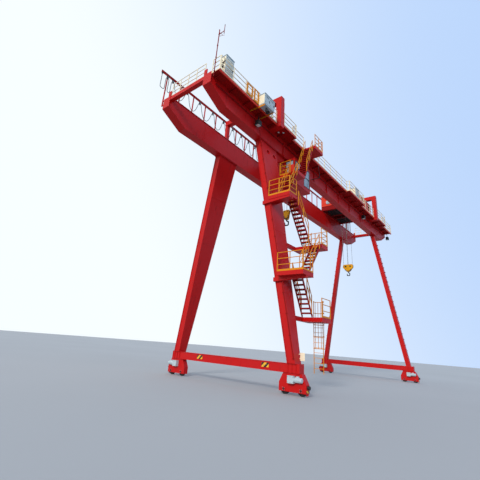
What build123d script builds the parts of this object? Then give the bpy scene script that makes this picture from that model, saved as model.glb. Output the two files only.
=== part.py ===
"""Double girder gantry crane with two trolleys.

X runs along the girders from the near cantilever to the far one, +Y is the
festoon side, -Y the walkway and stair side, +Z is up and the top of the
gantry rails is Z = 0.  Everything is built from the near legs' centre plane
(X = 0) and the middle of the two girders (Y = 0), and moved at the end so
that the crane stands on the middle of its bounding box.
"""
import os
from build123d import *

# girders
GIRDER_TOP = 17500          # top flange over the gantry rails
GIRDER_SPACING = 3880       # girder centre to girder centre
GIRDER_W = 680              # over the flanges
WEB_W = 600                 # over the webs
FLANGE_T = 30
GIRDER_D = 1680             # full depth
GIRDER_END_D = 830          # depth at the ends of the cantilevers
NEAR_END = -6420
NEAR_KNEE = -4780
LEG_SPACING = 22900         # near legs to far legs
FAR_KNEE = 25300
FAR_END = 26940
END_PLATE_T = 25
TIE_H = 290                 # box ties between the girder ends
TIE_W = 300

# legs, sill beams, bogies
BASE_SPREAD = 8950          # leg centre to leg centre at the sill beam
SILL_TOP = 1460
SILL_D = 450
SILL_W = 420
SILL_PAST = 450             # sill beam past the leg's centre
LEG_TOP_X = 1900            # near leg, width along X at the girder
LEG_FOOT_X = 560
LEG_Y = 500
FAR_LEG_W = 420
CAP_T = 60                  # flange plate on top of each leg
CAP_OUT = 60
HAUNCH_L = 1300             # bracket from the walkway side leg to the girder
HAUNCH_D = 850
HOLE_D = 330                # two hand holes below the leg's flange
HOLE_PITCH = 770
HOLE_DROP = 780
HOLE_DEEP = 120
WHEEL_R = 250
WHEEL_W = 120
WHEEL_BASE = 1000           # wheel centres in one bogie, along Y
AXLE_R = 45
BOGIE_L = 1600
BOGIE_W = 330
BOGIE_SIDE = 40
BUFFER_L = 120
BUFFER_R = 90

# trolley rails
RAIL_Y = 1700
RAIL_W = 60
RAIL_H = 80
RAIL_SHORT = 120            # rail ends short of the girder
STOP_T = 60
STOP_H = 420

# saddles over the legs
POST_W = 450                # post outboard of the walkway side girder
POST_REACH = 800            # its centre from the girder's flange
ARM_LOW = 330               # arm under the walkway that carries it, down to here
SLIM_W = 250                # post on the edge of the festoon side girder
SLIM_X = 300
NEAR_TOP = 19650
FAR_TOP = 20000
FAR_SADDLE = 1950           # far saddle from the far legs, inward
SADDLE_H = 430
SADDLE_W = 400

# walkway
DECK_DROP = 220             # walkway below the girder's top
DECK_T = 50
DECK_W = 700
WIDE_L = (1800, 2800)       # widened lengths past each saddle post
WIDE_MID = (12700, 16650)   # widened length between them
DECK_PAST = 440             # walkway past the girders' far end
BRACKET_N = 24
BRACKET_T = 20
RAIL_HIGH = 1100            # handrail over a deck
POST_T = 40
BAR_T = 34
KICK_H = 110
KICK_T = 10

# festoon line
FESTOON_OUT = 170           # beam centre outside the girder's flange
FESTOON_UP = 2230           # its underside over the girder's top
FESTOON_W = 100
FESTOON_H = 150
FESTOON_T = 14
FESTOON_PAST = 530          # beam past the girders' near end
FESTOON_POST = 70
POST_FIRST = -6340
POST_PITCH = 1307
POST_N = 26
CABLE_R = 22
CABLE_BEND = 110
HUMP = 125                  # half the flat of the cable on a carrier
CABLE_PLUMB = 150           # straight down from each terminal box
CARRIER_L = 170
ROLL_R = 42
NEAR_CARRIERS = (-6370, -5870, -4440, -3100, -1600, -260, 960, 2150, 3220, 4250)
NEAR_BOXES = (-6870, 5250)
FAR_CARRIERS = (24250, 25290, 25790, 26290, 26790)
FAR_BOXES = (22900, 27330)
NEAR_DROP = 1150
FAR_DROP = 1300

# stairs
TREAD_D = 200
TREAD_T = 35
STRINGER_T = 12
LANDING_T = 240
TOP_LANDING = (3800, 5150)
TOP_LANDING_W = 1000
LANDING_ARM = 150           # width of the arm under a landing on the leg's near face
LANDINGS = (                # x range, outer edge, height
    (-900, 0, -4550, 11150),
    (2000, 2880, -5220, 8470),
    (-1000, 180, -5550, 6180),
    (1500, 2650, -5400, 3950),
)
LANES = (                   # Y range of each flight
    (-3830, -3170),
    (-3830, -3170),
    (-4460, -3860),
    (-5190, -4600),
    (-4800, -4150),
)
TREADS = (13, 11, 11, 8, 8)
RAIL_SKIP = 0.35            # share of the lowest flight without an outer rail
RUNG_PITCH = 280
LADDER_W = 600
LADDER_Y = -4550
LADDER_FOOT = 950
CAGE_R = 350
CAGE_FOOT = 2300

# operator's cab
CAB_X = (2390, 4850)
CAB_WIDE = 1500
CAB_OUT = 1010              # outer wall from the girder's centre
CAB_HIGH = 2080
CAB_GAP = 70                # cab roof below the girder
CAB_STEP = 950              # platform before the cab, along X
CAB_WALL = 50
GLASS_T = 8
SILL_UP = 850               # window sill over the cab's floor
LOW_SILL_UP = 350
HEAD_DOWN = 180

# trolleys and hooks, where they stand in the photograph
MAIN = dict(name="main", x=19600, back=2600, front=2600, truck=300, beam=480,
            wheel_r=220, wheel_w=90, sheave=230, rope=14, drum=1500, hook=205, drop=600)
AUX = dict(name="aux", x=6200, back=1250, front=1250, truck=240, beam=300,
           wheel_r=160, wheel_w=80, sheave=120, rope=9, drum=900, hook=250, drop=740)
HOUSE_TOP = 1870            # machinery house over the rails
HOUSE_T = 40
HOUSE_OUT = 350             # house past the truck on the walkway side
MAIN_PIN = 11370            # sheave pins of the hook blocks
AUX_PIN = 13240
FIT = 0.3                   # gap between parts that run on each other

nodes = {}


def keep(name, *solids):
    """Store the solids of one node."""
    nodes[name] = list(solids)


def box(x0, x1, y0, y1, z0, z1):
    """Box between two corners."""
    size = (abs(x1 - x0), abs(y1 - y0), abs(z1 - z0))
    return Pos((x0 + x1) / 2, (y0 + y1) / 2, (z0 + z1) / 2) * Box(*size)


def disc(axis, x, y, z, r, length):
    """Cylinder about a point, along X, Y or Z."""
    turn = {"x": (0, 90, 0), "y": (90, 0, 0), "z": (0, 0, 0)}[axis]
    return Pos(x, y, z) * Rot(*turn) * Cylinder(r, length)


def bar(p, q, w):
    """Square bar from p to q in a plane of constant Y."""
    start, end = Vector(*p), Vector(*q)
    run = end - start
    plane = Plane(origin=start, x_dir=Vector(0, 1, 0).cross(run), z_dir=run)
    return plane * Box(w, w, run.length, align=(Align.CENTER, Align.CENTER, Align.MIN))


def fuse(parts):
    """One clean solid out of parts that touch or cross."""
    joined = parts[0]
    for part in parts[1:]:
        joined = joined.fuse(part)
    return joined.clean()


def one(shape):
    """The solid of a shape that has only one."""
    return shape.solids()[0]


def plate_xz(points, y0, y1):
    """Outline in the XZ plane, extruded from y0 to y1."""
    face = make_face(Polyline(*[(x, 0, z) for x, z in points], close=True))
    return Pos(0, y0, 0) * extrude(face, amount=y1 - y0, dir=(0, 1, 0))


def plate_yz(points, x0, x1):
    """Outline in the YZ plane, extruded from x0 to x1."""
    face = make_face(Polyline(*[(0, y, z) for y, z in points], close=True))
    return Pos(x0, 0, 0) * extrude(face, amount=x1 - x0, dir=(1, 0, 0))


HALF = GIRDER_SPACING / 2
OUTER = HALF + GIRDER_W / 2         # outer edge of the flanges, |Y|
INNER = HALF - GIRDER_W / 2
WEB_OUT = HALF + WEB_W / 2
WEB_IN = HALF - WEB_W / 2
BOT = GIRDER_TOP - GIRDER_D
BOT_END = GIRDER_TOP - GIRDER_END_D
RAIL_TOP = GIRDER_TOP + RAIL_H
DECK_Z = GIRDER_TOP - DECK_DROP
DECK_END = FAR_END + DECK_PAST
DECK_EDGE = -(OUTER + DECK_W)       # outer edge of the walkway
POST_Y = -(OUTER + POST_REACH)
WIDE_EDGE = POST_Y - POST_W / 2     # outer edge of its widened lengths
SADDLES = (0, LEG_SPACING - FAR_SADDLE)
WIDE_NEAR, WIDE_FAR = [(x - POST_W / 2, x + POST_W / 2 + run) for x, run in zip(SADDLES, WIDE_L)]
FESTOON_Y = OUTER + FESTOON_OUT
FESTOON_Z = GIRDER_TOP + FESTOON_UP
FESTOON_START = NEAR_END - FESTOON_PAST
LEG_TOP = BOT - CAP_T
SILL_Z = SILL_TOP - SILL_D


def girder(yc):
    """Box girder with proud flanges and an end plate, about its centre line."""
    side = [(NEAR_END, GIRDER_TOP), (FAR_END, GIRDER_TOP), (FAR_END, BOT_END),
            (FAR_KNEE, BOT), (NEAR_KNEE, BOT), (NEAR_END, BOT_END)]
    low = side[2:] + [(x, z + FLANGE_T) for x, z in side[:1:-1]]
    flange = (yc - GIRDER_W / 2, yc + GIRDER_W / 2)
    parts = [plate_xz(side, yc - WEB_W / 2, yc + WEB_W / 2), plate_xz(low, *flange),
             box(NEAR_END, FAR_END, *flange, GIRDER_TOP - FLANGE_T, GIRDER_TOP),
             box(NEAR_END, NEAR_END + END_PLATE_T, *flange, BOT_END, GIRDER_TOP),
             box(FAR_END - END_PLATE_T, FAR_END, *flange, BOT_END, GIRDER_TOP)]
    return fuse(parts)


def end_tie(x0):
    """Box tie between the two girders at one end."""
    top = GIRDER_TOP - FLANGE_T
    return box(x0, x0 + TIE_W, -WEB_IN, WEB_IN, top - TIE_H, top)


def trolley_rail(s):
    """Rail over the inner web of one girder."""
    y = s * RAIL_Y
    ends = (NEAR_END + RAIL_SHORT, FAR_END - RAIL_SHORT)
    return box(*ends, y - RAIL_W / 2, y + RAIL_W / 2, GIRDER_TOP, RAIL_TOP)


def rail_stop(s, x0, into):
    """Upright stop at a rail's end with its gusset behind it."""
    y = s * RAIL_Y
    half = RAIL_W * 2
    plate = box(x0, x0 + STOP_T, y - half, y + half, GIRDER_TOP, GIRDER_TOP + STOP_H)
    face = x0 if into < 0 else x0 + STOP_T
    pad = disc("x", face + into * RAIL_W / 2, y, GIRDER_TOP + STOP_H * 0.75, RAIL_W, RAIL_W)
    return fuse([plate, pad])


def saddle(xc, top):
    """Portal over the walkway and both rails, tall enough for a trolley."""
    r = POST_W / 2
    under = top - SADDLE_H
    post = box(xc - r, xc + r, POST_Y - r, POST_Y + r, DECK_Z, under)
    slim = box(xc - SLIM_X / 2, xc + SLIM_X / 2, OUTER - SLIM_W, OUTER, GIRDER_TOP, under)
    beam = box(xc - SADDLE_W / 2, xc + SADDLE_W / 2, POST_Y - r, OUTER, under, top)
    return fuse([post, slim, beam])


def saddle_arm(xc):
    """Arm from the girder's web to below a saddle's post, under the walkway."""
    r = POST_W / 2
    return box(xc - r, xc + r, POST_Y - r, -WEB_OUT, DECK_Z - ARM_LOW, DECK_Z - DECK_T)


def leg(xc, s, top_x, foot_x, wide_y):
    """Tapered box leg, lofted from the sill beam to its top flange."""
    y = s * HALF
    high = Plane.XY.offset(LEG_TOP) * Pos(xc, y) * Rectangle(top_x, wide_y)
    low = Plane.XY.offset(SILL_TOP) * Pos(xc, s * BASE_SPREAD / 2) * Rectangle(foot_x, wide_y)
    half_x, half_y = top_x / 2 + CAP_OUT, wide_y / 2 + CAP_OUT
    cap = box(xc - half_x, xc + half_x, y - half_y, y + half_y, LEG_TOP, BOT)
    return fuse([loft([low, high]), cap])


def leg_y(z):
    """Centre of a leg, |Y|, at height z."""
    k = (LEG_TOP - z) / (LEG_TOP - SILL_TOP)
    return HALF + (BASE_SPREAD / 2 - HALF) * k


def leg_x(z):
    """Half width of a near leg along X at height z."""
    k = (LEG_TOP - z) / (LEG_TOP - SILL_TOP)
    return (LEG_TOP_X + (LEG_FOOT_X - LEG_TOP_X) * k) / 2


def holed(shape):
    """The walkway side near leg with its two hand holes."""
    z = BOT - HOLE_DROP
    face = -leg_y(z) - LEG_Y / 2
    for x in (-HOLE_PITCH / 2 + HOLE_D / 2, HOLE_PITCH / 2 + HOLE_D / 2):
        shape = shape - disc("y", x, face, z, HOLE_D / 2, 2 * HOLE_DEEP)
    return one(shape)


def haunch():
    """Bracket plate box on the far face of the walkway side near leg."""
    x0 = leg_x(BOT - HAUNCH_D)
    reach = LEG_TOP_X / 2 + HAUNCH_L
    side = [(x0, BOT), (reach, BOT), (reach, BOT - HAUNCH_D / 3), (x0, BOT - HAUNCH_D)]
    return plate_xz(side, -HALF - LEG_Y / 3, -HALF + LEG_Y / 3)


def wheel(axis, x, y, r, wide, axle_r, axle_l, z):
    """Wheel and its axle as one solid."""
    return fuse([disc(axis, x, y, z, r, wide), disc(axis, x, y, z, axle_r, axle_l)])


def bogie(xc, yc):
    """Two-wheel bogie with sloped ends, open below for its wheels."""
    low, end = WHEEL_R * 0.56, WHEEL_R * 2.2
    half = BOGIE_L / 2
    side = [(yc - half, low), (yc - half, end), (yc - half + WHEEL_R, SILL_Z),
            (yc + half - WHEEL_R, SILL_Z), (yc + half, end), (yc + half, low)]
    frame = plate_yz(side, xc - BOGIE_W / 2, xc + BOGIE_W / 2)
    inner = BOGIE_W / 2 - BOGIE_SIDE
    reach = WHEEL_R * 1.1
    for t in (-1, 1):
        yw = yc + t * WHEEL_BASE / 2
        frame = frame - box(xc - inner, xc + inner, yw - reach, yw + reach, 0, 2 * reach)
        frame = frame - disc("x", xc, yw, WHEEL_R, AXLE_R + FIT, 2 * BOGIE_W)
    return one(frame)


def gantry_drive(xc, yc, s):
    """Gearbox on the bogie's near face, with its motor along the bogie."""
    face, deep = xc - BOGIE_W / 2, 220
    case = box(face - deep, face, yc - 180, yc + 180, WHEEL_R * 2.2, WHEEL_R * 3.6)
    motor = disc("y", face - deep / 2, yc + s * 380, WHEEL_R * 2.9, deep / 2, 400)
    return fuse([case, motor])


def make_gantry():
    """Girders, ties, legs, saddles, sill beams and what they roll on."""
    keep("girders", girder(-HALF), girder(HALF))
    keep("end_ties", end_tie(NEAR_END + END_PLATE_T), end_tie(FAR_END - END_PLATE_T - TIE_W))
    keep("trolley_rails", trolley_rail(-1), trolley_rail(1))
    keep("rail_stops", *[rail_stop(s, x, into) for s in (-1, 1)
                         for x, into in ((NEAR_END, 1), (FAR_END - STOP_T, -1))])
    keep("saddles", saddle(SADDLES[0], NEAR_TOP), saddle(SADDLES[1], FAR_TOP),
         *[saddle_arm(x) for x in SADDLES])
    right = holed(leg(0, -1, LEG_TOP_X, LEG_FOOT_X, LEG_Y))
    keep("near_legs", fuse([right, haunch()]), leg(0, 1, LEG_TOP_X, LEG_FOOT_X, LEG_Y))
    keep("far_legs", *[leg(LEG_SPACING, s, FAR_LEG_W, FAR_LEG_W, FAR_LEG_W) for s in (-1, 1)])
    end = BASE_SPREAD / 2 + SILL_PAST
    keep("sill_beams", *[box(x - SILL_W / 2, x + SILL_W / 2, -end, end, SILL_Z, SILL_TOP)
                         for x in (0, LEG_SPACING)])


def make_running_gear():
    """Bogies, wheels, buffers and travel drives under the four legs."""
    corners = [(x, s * BASE_SPREAD / 2, s) for x in (0, LEG_SPACING) for s in (-1, 1)]
    keep("bogies", *[bogie(x, y) for x, y, s in corners])
    keep("gantry_wheels", *[wheel("x", x, y + t * WHEEL_BASE / 2, WHEEL_R, WHEEL_W, AXLE_R,
                                  BOGIE_W + AXLE_R, WHEEL_R)
                            for x, y, s in corners for t in (-1, 1)])
    reach = BOGIE_L / 2 + BUFFER_L / 2
    keep("buffers", *[disc("y", x, y + s * reach, WHEEL_R * 1.68, BUFFER_R, BUFFER_L)
                      for x, y, s in corners])
    keep("gantry_drives", *[gantry_drive(x, y, s) for x, y, s in corners])


def make_walkway():
    """Deck outboard of the girder, widened under the saddle posts and past them."""
    low = DECK_Z - DECK_T
    deck = [box(NEAR_END + END_PLATE_T, FAR_END - END_PLATE_T, DECK_EDGE, -WEB_OUT, low, DECK_Z),
            box(NEAR_END, DECK_END, DECK_EDGE, -OUTER, low, DECK_Z),
            box(FAR_END, DECK_END, DECK_EDGE, -INNER, low, DECK_Z)]
    for a, b in (WIDE_NEAR, WIDE_MID, WIDE_FAR):
        deck.append(box(a, b, WIDE_EDGE, DECK_EDGE, low, DECK_Z))
    keep("walkway", fuse(deck))


def make_brackets():
    """Gusset brackets under the walkway, clear of the saddles' arms."""
    high, out = DECK_Z - DECK_T, DECK_EDGE + BRACKET_T
    side = [(-WEB_OUT, high), (out, high), (out, high - 3 * BRACKET_T), (-WEB_OUT, high - DECK_W / 4)]
    first, last = NEAR_END + TIE_W, FAR_END - TIE_W
    places = [first + i * (last - first) / (BRACKET_N - 1) for i in range(BRACKET_N)]
    clear = POST_W / 2 + 3 * BRACKET_T
    free = [x for x in places if all(abs(x - xc) > clear for xc in SADDLES)]
    keep("walkway_brackets", *[plate_yz(side, x - BRACKET_T / 2, x + BRACKET_T / 2) for x in free])


def railing(x0, y0, x1, y1, z, bays, kick=True):
    """Level railing: posts, three bars and a kick plate, on a deck at z."""
    parts = []
    for i in range(bays + 1):
        x, y = x0 + (x1 - x0) * i / bays, y0 + (y1 - y0) * i / bays
        parts.append(box(x - POST_T / 2, x + POST_T / 2, y - POST_T / 2, y + POST_T / 2, z, z + RAIL_HIGH))
    rows = [(z + RAIL_HIGH * k - BAR_T, z + RAIL_HIGH * k, BAR_T / 2) for k in (1, 0.68, 0.36)]
    if kick:
        rows.append((z, z + KICK_H, KICK_T / 2))
    for low, high, half in rows:
        if x0 == x1:
            parts.append(box(x0 - half, x0 + half, y0, y1, low, high))
        else:
            parts.append(box(x0, x1, y0 - half, y0 + half, low, high))
    return fuse(parts)


E = POST_T / 2
STEP = POST_T + 5           # one railing's end past another's line


def walk_bays(length):
    """Bays of about 1.2 m."""
    return max(1, round(length / 1200))


def outer_run(a, b, y):
    """Railing along X on the walkway from a to b."""
    return railing(a, y, b, y, DECK_Z, walk_bays(b - a))


def wide_runs(span):
    """Railings round a widened length, from the saddle's post where it has one."""
    a, b = span[0] + E, span[1] - E
    y, back = WIDE_EDGE + E, DECK_EDGE + E
    posted = span != WIDE_MID
    runs = [outer_run(a + POST_W + STEP if posted else a, b, y)]
    return runs + [railing(x, y + STEP, x, back, DECK_Z, 1) for x in ((b,) if posted else (a, b))]


def make_walkway_railings():
    """Railings along the walkway's outer edge and across its ends."""
    y, before = DECK_EDGE + E, POST_W / 2 + STEP
    spans = [(NEAR_END + E, SADDLES[0] - before),
             (WIDE_NEAR[1] + POST_T, TOP_LANDING[0] - POST_T),
             (TOP_LANDING[1] + E, WIDE_MID[0] - POST_T),
             (WIDE_MID[1] + POST_T, SADDLES[1] - before),
             (WIDE_FAR[1] + POST_T, DECK_END - E)]
    runs = [outer_run(a, b, y) for a, b in spans]
    for span in (WIDE_NEAR, WIDE_MID, WIDE_FAR):
        runs += wide_runs(span)
    for x, end in ((NEAR_END + E, -OUTER - E), (DECK_END - E, -INNER - E)):
        runs.append(railing(x, y + STEP, x, end, DECK_Z, walk_bays(end - y)))
    keep("walkway_railings", *runs)
    inset = E + POST_T
    keep("end_railings", *[railing(x, -INNER + E, x, INNER - E, GIRDER_TOP - FLANGE_T, 4)
                           for x in (NEAR_END + END_PLATE_T + inset, FAR_END - END_PLATE_T - inset)])


def festoon_beam():
    """I-section beam that the cable carriers run on."""
    half, web = FESTOON_W / 2, FESTOON_T / 2
    z0, z1 = FESTOON_Z, FESTOON_Z + FESTOON_H
    parts = [box(FESTOON_START, DECK_END, FESTOON_Y - half, FESTOON_Y + half, z0, z0 + FESTOON_T),
             box(FESTOON_START, DECK_END, FESTOON_Y - half, FESTOON_Y + half, z1 - FESTOON_T, z1),
             box(FESTOON_START, DECK_END, FESTOON_Y - web, FESTOON_Y + web, z0, z1)]
    return fuse(parts)


def festoon_post(x):
    """Post outside the beam, on two arms from the girder."""
    h = FESTOON_POST / 2
    y = FESTOON_Y + FESTOON_W / 2 + h
    low = GIRDER_TOP - GIRDER_END_D / 2
    post = box(x - h, x + h, y - h, y + h, low, FESTOON_Z + FESTOON_H)
    arm = box(x - h, x + h, WEB_OUT, y - h, low, low + FESTOON_POST)
    seat = box(x - h, x + h, OUTER, y - h, GIRDER_TOP - FLANGE_T, GIRDER_TOP)
    return fuse([post, arm, seat])


CARRIER_Z = FESTOON_Z - 90          # underside of a carrier's trolley
ROLL_Z = CARRIER_Z - 120
CABLE_TOP = ROLL_Z + ROLL_R + CABLE_R + 12


def carrier(x):
    """Carrier under the beam: trolley, two cheeks and the roll that takes the cable."""
    half = FESTOON_W * 0.4
    left, right = FESTOON_Y - half, FESTOON_Y + half
    body = box(x - CARRIER_L / 2, x + CARRIER_L / 2, left, right, CARRIER_Z, FESTOON_Z - FIT)
    cheeks = [box(x - half, x + half, y, y + 8, ROLL_Z - ROLL_R, CARRIER_Z) for y in (left, right - 8)]
    return fuse([body, disc("y", x, FESTOON_Y, ROLL_Z, ROLL_R, 2 * half)] + cheeks)


def cable_box(x):
    """Terminal box under the beam, where a festoon cable ends."""
    half = FESTOON_W * 0.45
    return box(x - half, x + half, FESTOON_Y - half, FESTOON_Y + half, CABLE_TOP, FESTOON_Z - FIT)


def loop(xa, xb, drop):
    """Corner points of one hanging loop, from one top point to the next."""
    span = xb - xa
    if span < 4 * HUMP:
        ways = ((12, 0.4), (4, 0.82), (24, 1.0))
        left = [(xa + dx, CABLE_TOP - drop * k) for dx, k in ways]
        return left + [(xb - dx, CABLE_TOP - drop * k) for dx, k in reversed(ways)]
    shares = (0.10, 0.26, 0.42, 0.58, 0.74, 0.90)
    return [(xa + span * u, CABLE_TOP - drop * (1 - abs(2 * u - 1) ** 2.6)) for u in shares]


def festoon_cable(boxes, carriers, drop):
    """Cable from one terminal box over the carriers to the other."""
    points, x = [(boxes[0], CABLE_TOP), (boxes[0], CABLE_TOP - CABLE_PLUMB)], boxes[0]
    for c in carriers:
        points += loop(x, c - HUMP, drop) + [(c - HUMP, CABLE_TOP), (c + HUMP, CABLE_TOP)]
        x = c + HUMP
    points += loop(x, boxes[1], drop)
    points += [(boxes[1], CABLE_TOP - CABLE_PLUMB), (boxes[1], CABLE_TOP)]
    path = FilletPolyline(*[(px, FESTOON_Y, pz) for px, pz in points], radius=CABLE_BEND)
    section = Plane(origin=path @ 0, z_dir=path % 0) * Circle(CABLE_R)
    return one(sweep(section, path=path))


def make_festoon():
    """Festoon beam, posts, carriers and the two cables."""
    keep("festoon_beam", festoon_beam())
    keep("festoon_posts", *[festoon_post(POST_FIRST + i * POST_PITCH) for i in range(POST_N)])
    keep("festoon_carriers", *[carrier(x) for x in NEAR_CARRIERS + FAR_CARRIERS],
         *[cable_box(x) for x in NEAR_BOXES + FAR_BOXES])
    keep("festoon_cable_near", festoon_cable(NEAR_BOXES, NEAR_CARRIERS, NEAR_DROP))
    keep("festoon_cable_far", festoon_cable(FAR_BOXES, FAR_CARRIERS, FAR_DROP))


LANDING_EDGE = DECK_EDGE - TOP_LANDING_W
CAB_TOP = BOT - CAB_GAP
CAB_FLOOR = CAB_TOP - CAB_HIGH


STEP_X = (CAB_X[0] - CAB_STEP, CAB_X[0])
STEP_Z = CAB_FLOOR + LANDING_T


def landing(x0, x1, edge, z, near_leg):
    """Landing cut to the near leg that carries it, with an arm back to the leg."""
    low, mid = z - LANDING_T, z - LANDING_T / 2
    face = -leg_y(mid) - LEG_Y / 2
    aside = x0 > leg_x(mid)
    if aside:
        slab = box(x0, x1, edge, -leg_y(mid) + 100, low, z)
        arm = box(leg_x(mid) - LANDING_T, x0, -leg_y(mid) - 100, -leg_y(mid) + 100, low, z)
    else:
        slab = box(x0, x1, edge, face + 30, low, z)
        side = [(face + LEG_Y, low), (edge, low), (edge, low - LANDING_T / 2), (face + LEG_Y, low - LANDING_T)]
        arm = plate_yz(side, -leg_x(low) - LANDING_ARM, -leg_x(low) + 50)
    return one(fuse([slab, arm]) - near_leg)


def flight(xa, za, xb, zb, y0, y1, treads):
    """Stair flight: two stringers and its treads, from a landing down to the next."""
    s = 1 if xb > xa else -1
    cut, tail = s * TREAD_D * 0.6, TREAD_D * 0.3
    side = [(xa, za), (xa + cut, za), (xb, zb + tail), (xb, zb), (xb - cut, zb), (xa, za - 3 * tail)]
    parts = [plate_xz(side, y, y + STRINGER_T) for y in (y0, y1 - STRINGER_T)]
    for i in range(treads):
        k = (i + 1) / (treads + 1)
        x, z = xa + (xb - xa) * k, za + (zb - za) * k
        parts.append(box(x - TREAD_D / 2, x + TREAD_D / 2, y0 + STRINGER_T, y1 - STRINGER_T, z - TREAD_T, z))
    return fuse(parts)


def slope_rail(xa, za, xb, zb, y, skip=0):
    """Railing beside a flight past its first share, its posts standing on the stringer."""
    def at(k, up):
        return (xa + (xb - xa) * k, y, za + (zb - za) * k + up)
    shares = [skip + (1 - skip) * k / 6 for k in (1, 3, 5)]
    parts = []
    for k in shares:
        x, _, z = at(k, 0)
        parts.append(box(x - E, x + E, y - E, y + E, z - POST_T, z + RAIL_HIGH * 0.87))
    for up in (RAIL_HIGH * 0.86, RAIL_HIGH * 0.46):
        parts.append(bar(at(shares[0], up), at(shares[-1], up), BAR_T))
    return fuse(parts)


def landing_rails(x0, x1, edge, z, open_side):
    """Railings on a landing's outer edge and on the end away from the stair."""
    y, inner = edge + E, -leg_y(z) - LEG_Y / 2
    if open_side > 0:
        return [railing(x0 + E + STEP, y, x1 - E, y, z, 1), railing(x0 + E, y, x0 + E, inner, z, 2)]
    return [railing(x0 + E, y, x1 - E - STEP, y, z, 1), railing(x1 - E, y, x1 - E, inner, z, 2)]


def make_stairs(near_leg):
    """Landings, flights and railings outboard of the near leg."""
    top = box(*TOP_LANDING, LANDING_EDGE, DECK_EDGE, DECK_Z - LANDING_T, DECK_Z)
    step = box(*STEP_X, LANES[0][0], -WEB_OUT, CAB_FLOOR, STEP_Z)
    keep("landings", top, step, *[landing(*row, near_leg) for row in LANDINGS])
    ends = [(x1 if i % 2 == 0 else x0, z) for i, (x0, x1, edge, z) in enumerate(LANDINGS)]
    starts = [(TOP_LANDING[0], DECK_Z), (STEP_X[0], STEP_Z)] + ends[:-1]
    flights, rails = [], []
    for start, end, lane, treads in zip(starts, [(STEP_X[1], STEP_Z)] + ends, LANES, TREADS):
        flights.append(flight(*start, *end, *lane, treads))
        rails.append(slope_rail(*start, *end, lane[0] - E, RAIL_SKIP if lane == LANES[-1] else 0))
    rails.append(slope_rail(*ends[2], *ends[3], LANES[-1][1] + E))
    keep("stair_flight_top", *flights[:2])
    keep("stair_flights_low", *flights[2:])
    y = LANDING_EDGE + E
    rails += [railing(TOP_LANDING[0] + E, y, TOP_LANDING[1] - E, y, DECK_Z, 2),
              railing(TOP_LANDING[1] - E, y + STEP, TOP_LANDING[1] - E, DECK_EDGE - E, DECK_Z, 1)]
    for i, row in enumerate(LANDINGS[:3]):
        rails += landing_rails(*row, 1 if i % 2 == 0 else -1)
    x0, x1, edge, z = LANDINGS[3]
    rails.append(railing(x0 + E, edge + E, x1 - E, edge + E, z, 1))
    x, y0, y1 = STEP_X[0] + E, LANES[0][1] + E, -WEB_OUT - E
    rails += [railing(x, y1, STEP_X[1] - E, y1, STEP_Z, 1), railing(x, y0, x, y1 - STEP, STEP_Z, 1)]
    keep("stair_railings", *rails)


def make_ladder():
    """Caged ladder from the lowest landing down."""
    x0, x1, edge, z = LANDINGS[3]
    x, yc = x1 + 1.5 * POST_T, LADDER_Y
    half, top = LADDER_W / 2, z + RAIL_HIGH
    parts = []
    for s in (-1, 1):
        y = yc + s * half
        parts.append(box(x - 25, x + 25, y - 12, y + 12, LADDER_FOOT, top))
        parts.append(box(x1, x - 25, y - 12, y + 12, z - LANDING_T * 0.7, z - LANDING_T * 0.4))
    count = int((z - LADDER_FOOT) / RUNG_PITCH)
    for i in range(1, count + 1):
        zr = LADDER_FOOT + i * RUNG_PITCH
        parts.append(box(x - 12, x + 12, yc - half, yc + half, zr - 12, zr + 12))
    parts += cage(x + 25, yc, half, top)
    keep("ladder", fuse(parts))


def cage(x, yc, half, top):
    """Hoops and straps of the ladder's cage, out from its stiles."""
    parts, hoops = [], 5
    for i in range(hoops):
        z = CAGE_FOOT + (top - CAGE_FOOT - POST_T) * i / (hoops - 1)
        ring = disc("z", x, yc, z, CAGE_R, POST_T) - disc("z", x, yc, z, CAGE_R - 8, 2 * POST_T)
        parts.append(ring - box(x - 2 * CAGE_R, x, yc - 2 * CAGE_R, yc + 2 * CAGE_R, z - POST_T, z + POST_T))
        for s in (-1, 1):
            parts.append(box(x - 10, x + 15, yc + s * (half - 12), yc + s * CAGE_R, z - E, z + E))
    for angle in (-60, -30, 0, 30, 60):
        strap = box(CAGE_R - 14, CAGE_R - 6, -15, 15, CAGE_FOOT, top - POST_T)
        parts.append(Pos(x, yc, 0) * Rot(0, 0, angle) * strap)
    return parts


def cab_panes(x0, x1, y0, y1, z0, z1):
    """Window boxes of the cab: through the wall, the long way along it."""
    w, side = CAB_WALL, CAB_WALL * 2.4
    sill, low, head = z0 + SILL_UP, z0 + LOW_SILL_UP, z1 - HEAD_DOWN
    split = x0 + (x1 - x0) * 0.6
    return [("y", split, x1 - side, y0, y0 + w, low, head),
            ("y", x0 + side, split - side, y0, y0 + w, sill, head),
            ("y", x0 + side, x1 - side, y1 - w, y1, sill, head),
            ("x", x1 - w, x1, y0 + side, y1 - side, low, head),
            ("x", x0, x0 + w, y0 + side, (y0 + y1) / 2, sill, head)]


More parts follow.
